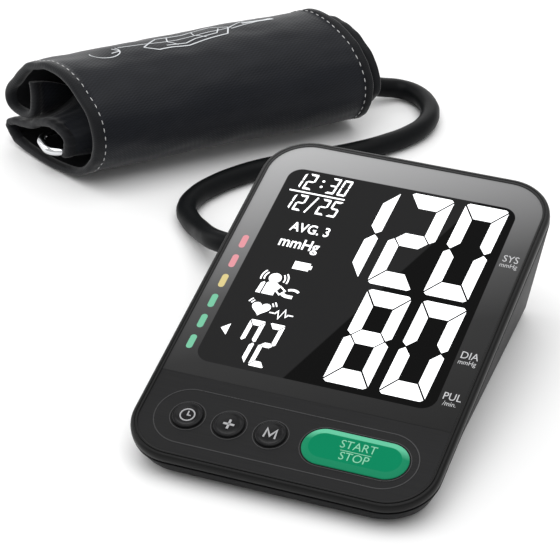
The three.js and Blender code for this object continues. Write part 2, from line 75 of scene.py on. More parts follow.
# Millimetres: x across the face and y up its slope from the back edge, so the face lies at negative y.
FACE_WIDTH = 94.0
FACE_LENGTH = 135.7
RIM = 2.5
SPLIT = 105.3
SHELL_TOP = -3.1
BASE_HALF_FRONT = 45.7
BASE_HALF_BACK = 40.5
BASE_BACK = 0.5
BASE_FRONT = -128.7
BASE_BACK_RADIUS = 3.0
FLOOR = 0.8
BASE_BEVEL = 2.2
TOP_BEVEL = 0.45
SHARP = 38.0
BUTTON_ROW = 121.0
ROUND_KEYS = {"clock": -32.1, "plus": -18.5, "memory": -4.9}
START = {"centre": 22.1, "half": 16.8, "width": 6.9}
PRINT_LIFT = 0.05
LABELS_ACROSS = 43.0
LABEL_DROP = 2.8
WINDOW = {"Centre": (-0.2, -54.8, 0), "Half Across": 39.3, "Half Down": 44.1, "Radius": 5.0}
# Where the painted reflection on the screen window ends, and how its edge leans.
PAINTED_GLARE_EDGE = 29.8
PAINTED_GLARE_LEAN = 0.394

# Cuts in the shell, in metres: a foot seat and a screw well have a radius and a depth.
DOOR_SHIFT = Vector((0, 0.002, -0.001))
DOOR_ROOM = Vector((0.0005, 0.004, 0.0022))
FOOT_SEAT = (0.0045, 0.0014)
SCREW_WELL = (0.0031, 0.0032)
CUT_BELOW = 0.002
PORT_RADIUS = 0.0049
PORT_LENGTH = 0.02
PORT_SHIFT = 0.0025

# The stage, in metres: each light has a name, an offset from the aim, a size and a power in watts.
AIM = ORIGIN + Vector((-0.04327, -0.0120, 0))
LIGHTS = (("key", (0.2, -0.3, 1.9), 2.2, 30), ("back", (-0.6, 2.0, 1.1), 2.0, 14),
          ("left", (-1.8, -0.1, 0.9), 1.4, 10))
SENSOR_WIDTH = 36
TABLE_HALF = 4.0
SKY_STRENGTH = 0.6


# ---- settings --------------------------------------------------------------------------------
def colour(name, description, default):
    return bpy.props.FloatVectorProperty(
        name=name, description=description, default=default, subtype="COLOR", size=3, min=0, max=1)


class MonitorUnitSettings(bpy.types.PropertyGroup):
    """Sizes and colours of the desk unit"""
    corner_radius: bpy.props.FloatProperty(
        name="Corner radius", description="Outer corner radius of the face, mm", default=16.0, min=4, max=30)
    corner_steps: bpy.props.IntProperty(
        name="Corner steps", description="Segments in each rounded corner", default=16, min=4, max=48)
    case_colour: colour("Case", "Black of the shells", (0.0055, 0.0055, 0.006))
    key_colour: colour("Keys", "Black of the round keys", (0.005, 0.005, 0.0055))
    start_colour: colour("Start key", "Green of the start key", (0.0, 0.19, 0.085))
    figure_colour: colour("Figures", "White of the lit figures", (0.92, 0.93, 0.94))
    print_colour: colour("Print", "Grey of the printed labels", (0.5, 0.5, 0.51))


class MonitorCuffSettings(bpy.types.PropertyGroup):
    """Sizes and colours of the rolled cuff and the hose"""
    thickness: bpy.props.FloatProperty(
        name="Thickness", description="Thickness of the padded band, mm", default=2.3, min=1, max=6)
    cloth_colour: colour("Cloth", "Black of the nylon", (0.0075, 0.0085, 0.0115))
    thread_colour: colour("Thread", "White of the stitching", (0.5, 0.5, 0.5))
    hose_diameter: bpy.props.FloatProperty(
        name="Hose diameter", description="Outer diameter of the air hose", default=0.0075, unit="LENGTH")


class MonitorStageSettings(bpy.types.PropertyGroup):
    """The camera's place and lens"""
    azimuth: bpy.props.FloatProperty(
        name="Azimuth", description="Camera's turn to the right of the unit", default=math.radians(21.63),
        subtype="ANGLE")
    elevation: bpy.props.FloatProperty(
        name="Elevation", description="Camera's height angle", default=math.radians(31.57), subtype="ANGLE")
    distance: bpy.props.FloatProperty(
        name="Distance", description="From the camera to its aim on the table", default=0.84603,
        unit="LENGTH")
    lens: bpy.props.FloatProperty(
        name="Lens", description="Focal length on a 36 mm sensor, mm", default=159.17)


def settings():
    return bpy.context.scene.monitor_unit, bpy.context.scene.monitor_cuff, bpy.context.scene.monitor_stage


# ---- mesh helpers ----------------------------------------------------------------------------
def finish(name, bm, place, looks, body, stands_for=(), sharp=SHARP, tidy=True):
    """Puts a bmesh in its place, makes it an object and tells the frame what it rides on."""
    if tidy:
        bmesh.ops.remove_doubles(bm, verts=bm.verts, dist=1e-4)
        bmesh.ops.recalc_face_normals(bm, faces=bm.faces)
    bmesh.ops.transform(bm, matrix=place, verts=bm.verts)
    mesh = bpy.data.meshes.new(name)
    bm.to_mesh(mesh)
    bm.free()
    mesh.polygons.foreach_set("use_smooth", [True] * len(mesh.polygons))
    mesh.set_sharp_from_angle(angle=math.radians(sharp))
    for look in looks if isinstance(looks, (list, tuple)) else [looks]:
        mesh.materials.append(look)
    piece = bpy.data.objects.new(name, mesh)
    bpy.context.scene.collection.objects.link(piece)
    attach(piece, body)
    if stands_for:
        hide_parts(*stands_for)
    return piece


def outline_face(bm, left, right, back, front, back_radius, front_radius, steps, height=0.0):
    """One flat face with rounded corners; back and front are distances down the slope."""
    corners = [(left, -front), (right, -front), (right, -back), (left, -back)]
    verts = [bm.verts.new((x, y, height)) for x, y in corners]
    bm.faces.new(verts)
    for corner, radius in ((verts[:2], front_radius), (verts[2:], back_radius)):
        if radius > 0:
            bmesh.ops.bevel(bm, geom=corner, offset=radius, affect="VERTICES", segments=steps,
                            profile=0.5, material=-1, offset_type="OFFSET")


def extrude_down(bm, face, depth):
    """Gives a face thickness below it; the face itself stays on top."""
    copy = bmesh.ops.extrude_face_region(bm, geom=[face], use_keep_orig=True)
    moved = [item for item in copy["geom"] if isinstance(item, bmesh.types.BMVert)]
    bmesh.ops.translate(bm, verts=moved, vec=(0, 0, -depth))
    if face.normal.z < 0:
        bmesh.ops.reverse_faces(bm, faces=[face])


def soften(bm, faces, offset, segments):
    """Bevels the outer edges of the given faces."""
    chosen = {edge for face in faces for edge in face.edges}
    bmesh.ops.bevel(bm, geom=list(chosen), offset=offset, affect="EDGES", segments=segments,
                    profile=0.5, material=-1, clamp_overlap=True)


def plate(bounds, radii, low, high, steps, bevel):
    """A flat plate on the face with rounded corners and a softened top edge."""
    bm = bmesh.new()
    outline_face(bm, *bounds, *radii, steps, high)
    top = max(bm.faces, key=lambda face: face.calc_area())
    extrude_down(bm, top, high - low)
    upper = (face for face in bm.faces if face.calc_center_median().z > (low + high) / 2)
    top = max(upper, key=lambda face: face.calc_area())
    soften(bm, [top], bevel, 3)
    return bm


def skin(bm, rings):
    """Joins closed rings of equal count with quads."""
    for lower, upper in zip(rings, rings[1:]):
        for k, vert in enumerate(lower):
            following = (k + 1) % len(lower)
            bm.faces.new([vert, lower[following], upper[following], upper[k]])


def spun(profile, steps):
    """A turned shape from [radius, height] points, closed on its axis."""
    bm = bmesh.new()
    verts = [bm.verts.new((radius, 0, height)) for radius, height in profile]
    edges = [bm.edges.new(pair) for pair in zip(verts, verts[1:])]
    bmesh.ops.spin(bm, geom=verts + edges, cent=(0, 0, 0), axis=(0, 0, 1), angle=math.tau,
                   steps=steps, use_merge=True)
    bmesh.ops.remove_doubles(bm, verts=bm.verts, dist=1e-4)
    return bm


def swept_ring(points, radius, sides=20):
    """A round wire along a closed flat path of [x, y, z] points."""
    bm = bmesh.new()
    rings = []
    count = len(points)
    for k, point in enumerate(points):
        along = (Vector(points[(k + 1) % count]) - Vector(points[k - 1])).normalized()
        side = Vector((-along.y, along.x, 0))
        ring = []
        for angle in (math.tau * i / sides for i in range(sides)):
            out = side * radius * math.cos(angle) + Vector((0, 0, radius * math.sin(angle)))
            ring.append(bm.verts.new(Vector(point) + out))
        rings.append(ring)
    skin(bm, rings + rings[:1])
    return bm


def flat_shape(bm, points, low, high):
    """A thin raised shape from an outline of points."""
    face = bm.faces.new([bm.verts.new((x, y, high)) for x, y in points])
    extrude_down(bm, face, high - low)


def strip(bm, points, width, low, high, closed=False):
    """A line of even width along points."""
    count = len(points)
    sides = ([], [])
    for i in range(count):
        before = Vector(points[i - 1 if i or closed else 0])
        after = Vector(points[(i + 1) % count] if i < count - 1 or closed else points[i])
        here = Vector(points[i])
        first = (here - before).normalized() if (here - before).length else (after - here).normalized()
        second = (after - here).normalized() if (after - here).length else first
        along = (first + second).normalized() if (first + second).length else first
        across = Vector((-along.y, along.x))
        stretch = 1 / max(0.5, abs(across.dot(Vector((-first.y, first.x)))))
        for side, sign in zip(sides, (1, -1)):
            side.append(here + across * width / 2 * stretch * sign)
    for i in range(count if closed else count - 1):
        j = (i + 1) % count
        flat_shape(bm, [sides[1][i], sides[1][j], sides[0][j], sides[0][i]], low, high)


def arc(x, y, radius, start, end, steps=16):
    angles = [math.radians(start + (end - start) * i / steps) for i in range(steps + 1)]
    return [(x + radius * math.cos(a), y + radius * math.sin(a)) for a in angles]


def lettering(bm, words, size, x, y, high, width, bold):
    """Adds words as flat letters at a height; width squeezes them."""
    curve = bpy.data.curves.new("lettering", "FONT")
    curve.body = words
    curve.size = size
    curve.align_x = "CENTER"
    curve.align_y = "CENTER"
    curve.offset = size * bold
    curve.resolution_u = 3
    writer = bpy.data.objects.new("lettering", curve)
    bpy.context.scene.collection.objects.link(writer)
    flat = writer.evaluated_get(bpy.context.evaluated_depsgraph_get()).to_mesh()
    start = len(bm.verts)
    bm.from_mesh(flat)
    bm.verts.ensure_lookup_table()
    letters = bm.verts[start:]
    place = Matrix.Translation((x, y, high)) @ Matrix.Diagonal((width, 1, 1, 1))
    bmesh.ops.transform(bm, matrix=place, verts=letters)
    bpy.data.objects.remove(writer)
    bpy.data.curves.remove(curve)


# ---- materials -------------------------------------------------------------------------------
def link(tree, source, target):
    tree.links.new(source, target)


def new_group(name, inputs, outputs):
    group = bpy.data.node_groups.new(name, "ShaderNodeTree")
    for label, kind, default in inputs:
        socket = group.interface.new_socket(label, in_out="INPUT", socket_type=kind)
        if default is not None:
            socket.default_value = default
    for label, kind in outputs:
        group.interface.new_socket(label, in_out="OUTPUT", socket_type=kind)
    return group, group.nodes.new("NodeGroupInput"), group.nodes.new("NodeGroupOutput")


def maths(tree, operation, a, b=None, clamp=False):
    node = tree.nodes.new("ShaderNodeMath")
    node.operation = operation
    node.use_clamp = clamp
    for socket, value in zip(node.inputs, (a, b)):
        if value is None:
            continue
        if isinstance(value, (int, float)):
            socket.default_value = value
        else:
            link(tree, value, socket)
    return node.outputs[0]


def mixed(tree, factor, first, second):
    node = tree.nodes.new("ShaderNodeMix")
    node.data_type = "RGBA"
    for socket, value in ((node.inputs[0], factor), (node.inputs[6], first), (node.inputs[7], second)):
        if hasattr(value, "is_output"):
            link(tree, value, socket)
        elif isinstance(value, (int, float)):
            socket.default_value = value
        else:
            socket.default_value = (*value, 1) if len(value) == 3 else value
    return node.outputs[2]


def grain_group():
    """Moulded grain: a slow shift of shade, fine spots in roughness, and a height for bump."""
    group, inside, out = new_group("Moulded Grain", [
        ("Vector", "NodeSocketVector", None), ("Colour", "NodeSocketColor", (0.5, 0.5, 0.5, 1)),
        ("Scale", "NodeSocketFloat", 2000.0), ("Variation", "NodeSocketFloat", 0.15),
        ("Roughness", "NodeSocketFloat", 0.5),
    ], [("Colour", "NodeSocketColor"), ("Roughness", "NodeSocketFloat"), ("Height", "NodeSocketFloat")])
    fine = group.nodes.new("ShaderNodeTexNoise")
    slow = group.nodes.new("ShaderNodeTexNoise")
    slow.inputs["Scale"].default_value = 45.0
    slow.inputs["Detail"].default_value = 3.0
    link(group, inside.outputs["Vector"], fine.inputs["Vector"])
    link(group, inside.outputs["Vector"], slow.inputs["Vector"])
    link(group, inside.outputs["Scale"], fine.inputs["Scale"])
    shift = maths(group, "SUBTRACT", slow.outputs["Fac"], 0.5)
    lighter = maths(group, "ADD", maths(group, "MULTIPLY", shift, inside.outputs["Variation"]), 1.0)
    scaled = group.nodes.new("ShaderNodeVectorMath")
    scaled.operation = "SCALE"
    link(group, inside.outputs["Colour"], scaled.inputs[0])
    link(group, lighter, scaled.inputs["Scale"])
    link(group, scaled.outputs[0], out.inputs["Colour"])
    spots = maths(group, "MULTIPLY", maths(group, "SUBTRACT", fine.outputs["Fac"], 0.5), 0.12)
    smudge = maths(group, "MULTIPLY", shift, 0.16)
    rough = maths(group, "ADD", maths(group, "ADD", inside.outputs["Roughness"], spots), smudge, True)
    link(group, rough, out.inputs["Roughness"])
    link(group, fine.outputs["Fac"], out.inputs["Height"])
    return group


def weave_group():
    """Twill: slanting ribs crossed by threads, on coordinates in millimetres."""
    group, inside, out = new_group("Twill Weave", [
        ("Vector", "NodeSocketVector", None), ("Colour", "NodeSocketColor", (0.02, 0.02, 0.02, 1)),
        ("Ribs per mm", "NodeSocketFloat", 1.6), ("Contrast", "NodeSocketFloat", 0.5),
    ], [("Colour", "NodeSocketColor"), ("Height", "NodeSocketFloat")])
    split = group.nodes.new("ShaderNodeSeparateXYZ")
    link(group, inside.outputs["Vector"], split.inputs[0])
    turn = maths(group, "MULTIPLY", inside.outputs["Ribs per mm"], math.tau)
    slanted = maths(group, "ADD", split.outputs[0], maths(group, "MULTIPLY", split.outputs[1], 1.6))
    ribs = maths(group, "SINE", maths(group, "MULTIPLY", slanted, turn))
    crossing = maths(group, "MULTIPLY", turn, 1.9)
    threads = maths(group, "SINE", maths(group, "MULTIPLY", split.outputs[1], crossing))
    both = maths(group, "ADD", maths(group, "MULTIPLY", ribs, 0.6), maths(group, "MULTIPLY", threads, 0.4))
    wear = group.nodes.new("ShaderNodeTexNoise")
    wear.inputs["Scale"].default_value = 0.12
    wear.inputs["Detail"].default_value = 4.0
    link(group, inside.outputs["Vector"], wear.inputs["Vector"])
    patch = maths(group, "MULTIPLY", maths(group, "SUBTRACT", wear.outputs["Fac"], 0.5), 0.5)
    lift = maths(group, "ADD", maths(group, "MULTIPLY", both, inside.outputs["Contrast"]), patch)
    scaled = group.nodes.new("ShaderNodeVectorMath")
    scaled.operation = "SCALE"
    link(group, inside.outputs["Colour"], scaled.inputs[0])
    link(group, maths(group, "ADD", lift, 1.0), scaled.inputs["Scale"])
    link(group, scaled.outputs[0], out.inputs["Colour"])
    link(group, both, out.inputs["Height"])
    return group


def window_group():
    """Signed distance to a rounded rectangle, in the units of the vector."""
    group, inside, out = new_group("Rounded Window", [
        ("Vector", "NodeSocketVector", None), ("Centre", "NodeSocketVector", (0, 0, 0)),
        ("Half Across", "NodeSocketFloat", 10.0), ("Half Down", "NodeSocketFloat", 10.0),
        ("Radius", "NodeSocketFloat", 2.0),
    ], [("Distance", "NodeSocketFloat")])
    offset = group.nodes.new("ShaderNodeVectorMath")
    offset.operation = "SUBTRACT"
    link(group, inside.outputs["Vector"], offset.inputs[0])
    link(group, inside.outputs["Centre"], offset.inputs[1])
    split = group.nodes.new("ShaderNodeSeparateXYZ")
    link(group, offset.outputs[0], split.inputs[0])
    reach = []
    for axis, half in ((0, "Half Across"), (1, "Half Down")):
        past = maths(group, "SUBTRACT", maths(group, "ABSOLUTE", split.outputs[axis]), inside.outputs[half])
        reach.append(maths(group, "MAXIMUM", maths(group, "ADD", past, inside.outputs["Radius"]), 0.0))
    squares = maths(group, "ADD", maths(group, "POWER", reach[0], 2.0), maths(group, "POWER", reach[1], 2.0))
    distance = maths(group, "SUBTRACT", maths(group, "SQRT", squares), inside.outputs["Radius"])
    link(group, distance, out.inputs["Distance"])
    return group


GROUPS = {}
SHINE = 0.14
BUMP_DEPTH = 0.0001


def placed_group(tree, name):
    makers = {"grain": grain_group, "weave": weave_group, "window": window_group}
    if name not in GROUPS:
        GROUPS[name] = makers[name]()
    node = tree.nodes.new("ShaderNodeGroup")
    node.node_tree = GROUPS[name]
    return node


def bare_material(name, roughness, metallic=0.0, **constants):
    look = bpy.data.materials.new(name)
    look.use_nodes = True
    shader = look.node_tree.nodes["Principled BSDF"]
    shader.inputs["Roughness"].default_value = roughness
    shader.inputs["Metallic"].default_value = metallic
    if not metallic:
        shader.inputs["Specular IOR Level"].default_value = SHINE
    for label, value in constants.items():
        shader.inputs[label.replace("_", " ")].default_value = value
    return look, look.node_tree, shader


def bump(tree, shader, height, strength, distance=BUMP_DEPTH):
    node = tree.nodes.new("ShaderNodeBump")
    node.inputs["Strength"].default_value = strength
    node.inputs["Distance"].default_value = distance
    link(tree, height, node.inputs["Height"])
    link(tree, node.outputs[0], shader.inputs["Normal"])


def moulded(name, shade, roughness, metallic=0.0, scale=2200.0, variation=0.2, relief=0.12, **constants):
    """Moulded plastic, rubber or plated metal with fine grain."""
    look, tree, shader = bare_material(name, roughness, metallic, **constants)
    place = tree.nodes.new("ShaderNodeTexCoord")
    grain = placed_group(tree, "grain")
    grain.inputs["Colour"].default_value = (*shade, 1)
    grain.inputs["Scale"].default_value = scale
    grain.inputs["Variation"].default_value = variation
    grain.inputs["Roughness"].default_value = roughness
    link(tree, place.outputs["Object"], grain.inputs["Vector"])
    link(tree, grain.outputs["Colour"], shader.inputs["Base Color"])
    link(tree, grain.outputs["Roughness"], shader.inputs["Roughness"])
    if relief:
        bump(tree, shader, grain.outputs["Height"], relief, 0.00012)
    return look


def face_coordinates(tree):
    """Object coordinates turned into millimetres across and up the sloping face."""
    place = tree.nodes.new("ShaderNodeTexCoord")
    mapping = tree.nodes.new("ShaderNodeMapping")
    mapping.vector_type = "TEXTURE"
    corner = ORIGIN + Vector((0, 0, FACE_BACK_HEIGHT * MM))
    mapping.inputs["Location"].default_value = corner
    mapping.inputs["Rotation"].default_value = (FACE_TILT, 0, 0)
    mapping.inputs["Scale"].default_value = (MM, MM, MM)
    link(tree, place.outputs["Object"], mapping.inputs["Vector"])
    return mapping.outputs[0]


def painted_reflection_ramp(tree, vector, stops):
    """A painted reflection that darkens across and down the face."""
    split = tree.nodes.new("ShaderNodeSeparateXYZ")
    link(tree, vector, split.inputs[0])
    across = maths(tree, "MULTIPLY", maths(tree, "ADD", split.outputs[0], FACE_WIDTH / 2), 0.45 / FACE_WIDTH)
    down = maths(tree, "MULTIPLY", split.outputs[1], -1 / 105)
    reach = maths(tree, "MULTIPLY", maths(tree, "ADD", across, down), 1 / 1.6)
    ramp = tree.nodes.new("ShaderNodeValToRGB")
    elements = ramp.color_ramp.elements
    while len(elements) < len(stops):
        elements.new(0.5)
    for element, (position, value) in zip(elements, stops):
        element.position = position
        element.color = (value, value, value * 1.01, 1)
    link(tree, reach, ramp.inputs[0])
    return ramp.outputs[0]


def lens_material():
    """Gloss cover: a printed border greyed by a painted reflection, round a black window with a painted
    slanting reflection.
    """
    look, tree, shader = bare_material("screen_cover", 0.12, IOR=1.45)
    vector = face_coordinates(tree)
    # The border's grey is a painted reflection, lightest at the back left and fading to near black.
    reflection_greys = [(0.0, 0.42), (0.28, 0.19), (0.45, 0.065), (0.62, 0.022), (0.9, 0.009)]
    border_print_and_reflection = painted_reflection_ramp(tree, vector, reflection_greys)
    window = placed_group(tree, "window")
    for label, value in WINDOW.items():
        window.inputs[label].default_value = value
    link(tree, vector, window.inputs["Vector"])
    inside = maths(tree, "MULTIPLY", window.outputs["Distance"], -6.0, True)
    split = tree.nodes.new("ShaderNodeSeparateXYZ")
    link(tree, vector, split.inputs[0])
    # Painted reflection: the window is a little lighter on one side of a slanting line.
    slant = maths(tree, "ADD", split.outputs[0], maths(tree, "MULTIPLY", split.outputs[1], -PAINTED_GLARE_LEAN))
    painted_glare = maths(tree, "MULTIPLY", maths(tree, "SUBTRACT", PAINTED_GLARE_EDGE, slant), 1.6, True)
    glass = mixed(tree, painted_glare, (0.0, 0.0, 0.0), (0.0125, 0.0125, 0.0128))
    link(tree, mixed(tree, inside, border_print_and_reflection, glass), shader.inputs["Base Color"])
    cloud = tree.nodes.new("ShaderNodeTexNoise")
    cloud.inputs["Scale"].default_value = 0.05
    link(tree, vector, cloud.inputs["Vector"])
    rough = maths(tree, "ADD", maths(tree, "MULTIPLY", cloud.outputs["Fac"], 0.08), 0.1)
    link(tree, maths(tree, "ADD", rough, maths(tree, "MULTIPLY", maths(tree, "SUBTRACT", 1.0, inside), 0.22)),
         shader.inputs["Roughness"])
    return look


def rim_material():
    """Satin rim with a painted reflection that makes it greyer towards the back."""
    look, tree, shader = bare_material("rim_satin", 0.36)
    vector = face_coordinates(tree)
    # Painted reflection: the rim's grey fades from the back down the face.
    shade = painted_reflection_ramp(tree, vector, [(0.0, 0.045), (0.3, 0.022), (0.6, 0.009), (1.0, 0.006)])
    grain = placed_group(tree, "grain")
    grain.inputs["Scale"].default_value = 2.2
    grain.inputs["Variation"].default_value = 0.1
    grain.inputs["Roughness"].default_value = 0.38
    link(tree, vector, grain.inputs["Vector"])
    link(tree, shade, grain.inputs["Colour"])
    link(tree, grain.outputs["Colour"], shader.inputs["Base Color"])
    link(tree, grain.outputs["Roughness"], shader.inputs["Roughness"])
    return look


def panel_material():
    """Black panel brushed across."""
    look, tree, shader = bare_material("panel_brushed", 0.42)
    vector = face_coordinates(tree)
    stretch = tree.nodes.new("ShaderNodeMapping")
    stretch.inputs["Scale"].default_value = (0.06, 3.2, 1)
    link(tree, vector, stretch.inputs["Vector"])
    lines = tree.nodes.new("ShaderNodeTexNoise")
    lines.inputs["Scale"].default_value = 1.0
    lines.inputs["Detail"].default_value = 5.0
    link(tree, stretch.outputs[0], lines.inputs["Vector"])
    link(tree, mixed(tree, lines.outputs["Fac"], (0.004, 0.004, 0.0045), (0.012, 0.012, 0.0125)),
         shader.inputs["Base Color"])
    rough = maths(tree, "ADD", maths(tree, "MULTIPLY", lines.outputs["Fac"], 0.2), 0.32)
    link(tree, rough, shader.inputs["Roughness"])
    bump(tree, shader, lines.outputs["Fac"], 0.12)
    return look


def start_key_material(shade):
    """Green plastic with a painted highlight: the chamfer along its back edge is paler."""
    look = moulded("key_green", shade, 0.4, relief=0.04, variation=0.1, Specular_IOR_Level=0.04)
    tree = look.node_tree
    shader = tree.nodes["Principled BSDF"]
    plain = shader.inputs["Base Color"].links[0].from_socket
    vector = face_coordinates(tree)
    key = placed_group(tree, "window")
    key.inputs["Centre"].default_value = (START["centre"], -BUTTON_ROW, 0)
    for label, size in (("Half Across", "half"), ("Half Down", "width"), ("Radius", "width")):
        key.inputs[label].default_value = START[size]
    link(tree, vector, key.inputs["Vector"])
    split = tree.nodes.new("ShaderNodeSeparateXYZ")
    link(tree, vector, split.inputs[0])
    # Painted highlight: a paler band on the chamfer, faint all round and strongest along the back edge.
    edge = maths(tree, "MULTIPLY", maths(tree, "ADD", key.outputs["Distance"], 2.3), 5.0, True)
    behind = maths(tree, "MULTIPLY", maths(tree, "ADD", split.outputs[1], BUTTON_ROW - 1.5), 0.3, True)
    band = maths(tree, "MULTIPLY", edge, maths(tree, "ADD", maths(tree, "MULTIPLY", behind, 0.85), 0.08))
    link(tree, mixed(tree, band, plain, (0.11, 0.47, 0.29)), shader.inputs["Base Color"])
    return look


def cloth(name, shade, ribs, contrast, relief, roughness, uv=True, **constants):
    """Woven nylon on the piece's own map, which is in millimetres."""
    look, tree, shader = bare_material(name, roughness, **constants)
    place = tree.nodes.new("ShaderNodeTexCoord")
    weave = placed_group(tree, "weave")
    weave.inputs["Colour"].default_value = (*shade, 1)
    weave.inputs["Ribs per mm"].default_value = ribs
    weave.inputs["Contrast"].default_value = contrast
    if uv:
        link(tree, place.outputs["UV"], weave.inputs["Vector"])
    else:
        scale = tree.nodes.new("ShaderNodeMapping")
        scale.inputs["Scale"].default_value = (1 / MM, 1 / MM, 1 / MM)
        link(tree, place.outputs["Object"], scale.inputs["Vector"])
        link(tree, scale.outputs[0], weave.inputs["Vector"])
    link(tree, weave.outputs["Colour"], shader.inputs["Base Color"])
    bump(tree, shader, weave.outputs["Height"], relief)
    return look


def lit(name, shade, strength, roughness=0.5):
    """A printed or lit figure."""
    look, tree, shader = bare_material(name, roughness)
    grain = placed_group(tree, "grain")
    place = tree.nodes.new("ShaderNodeTexCoord")
    grain.inputs["Colour"].default_value = (*shade, 1)
    grain.inputs["Variation"].default_value = 0.06
    grain.inputs["Roughness"].default_value = roughness
    link(tree, place.outputs["Object"], grain.inputs["Vector"])
    link(tree, grain.outputs["Colour"], shader.inputs["Base Color"])
    link(tree, grain.outputs["Colour"], shader.inputs["Emission Color"])
    shader.inputs["Emission Strength"].default_value = strength
    return look


LOOKS = {}


def make_materials():
    """Fills LOOKS with every finish of the set."""
    unit, cuff, _ = settings()
    LOOKS.update(
        case=moulded("case_black", unit.case_colour, 0.5, relief=0.25),
        rim=rim_material(),
        lens=lens_material(),
        panel=panel_material(),
        key=moulded("key_black", unit.key_colour, 0.3, relief=0.05),
        start=start_key_material(unit.start_colour),
        figure=lit("figure_white", unit.figure_colour, 0.75),
        label=lit("label_grey", unit.print_colour, 0.0, 0.4),
        key_print=lit("key_print", (0.36, 0.36, 0.37), 0.0, 0.4),
        start_print=lit("start_print", (0.2, 0.52, 0.34), 0.0, 0.4),
        red=lit("light_red", (0.6, 0.24, 0.27), 0.1),
        yellow=lit("light_yellow", (0.55, 0.46, 0.2), 0.1),
        green=lit("light_green", (0.14, 0.42, 0.27), 0.1),
        edge=moulded("edge_satin", (0.02, 0.02, 0.021), 0.3, relief=0, Specular_IOR_Level=0.5),
        # Painted shade: the dark strips that stand in for the shaded gaps round the keys.
        groove=moulded("painted_gap_shade", (0.003, 0.003, 0.003), 0.6, relief=0),
        nylon=cloth("nylon_black", cuff.cloth_colour, 0.55, 0.42, 0.3, 0.46, Sheen_Weight=0.16,
                    Sheen_Roughness=0.4),
        tape=cloth("binding_tape", (0.0065, 0.007, 0.0085), 0.7, 0.25, 0.3, 0.6, Sheen_Weight=0.2,
                   Sheen_Roughness=0.4),
        lining=cloth("lining_black", (0.0055, 0.0055, 0.0065), 1.2, 0.4, 0.5, 0.85),
        thread=cloth("thread_white", cuff.thread_colour, 2.4, 0.3, 0.4, 0.7, uv=False),
        cloth_print=cloth("cloth_print", (0.62, 0.64, 0.66), 1.8, 0.25, 0.2, 0.7, uv=False),
        chrome=moulded("chrome_wire", (0.75, 0.76, 0.78), 0.1, 1.0, scale=900, variation=0.1, relief=0.02),
        hose=moulded("hose_rubber", (0.005, 0.0055, 0.006), 0.42, scale=1500, variation=0.25, relief=0.1,
                     Specular_IOR_Level=0.07),
        rubber=moulded("rubber_black", (0.012, 0.012, 0.013), 0.62, scale=1500, variation=0.25, relief=0.2),
        steel=moulded("plated_steel", (0.5, 0.5, 0.52), 0.28, 1.0, scale=800, variation=0.2, relief=0.05),
        circuit=moulded("circuit_green", (0.01, 0.11, 0.04), 0.5, scale=900, variation=0.5, relief=0.1),
        backlight=moulded("light_guide", (0.75, 0.77, 0.8), 0.4, scale=700, relief=0.02),
        screen=moulded("screen_black", (0.004, 0.004, 0.004), 0.15, relief=0),
        white=moulded("pump_white", (0.6, 0.6, 0.57), 0.5, relief=0.1),
        cell=moulded("cell_jacket", (0.03, 0.09, 0.22), 0.3, scale=500, variation=0.4, relief=0.02),
    )


def dress_node(node, look):
    """Gives a node of the frame, which keeps its shape, one of the looks."""
    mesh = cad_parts[node].data
    mesh.materials.clear()
    mesh.materials.append(LOOKS[look])


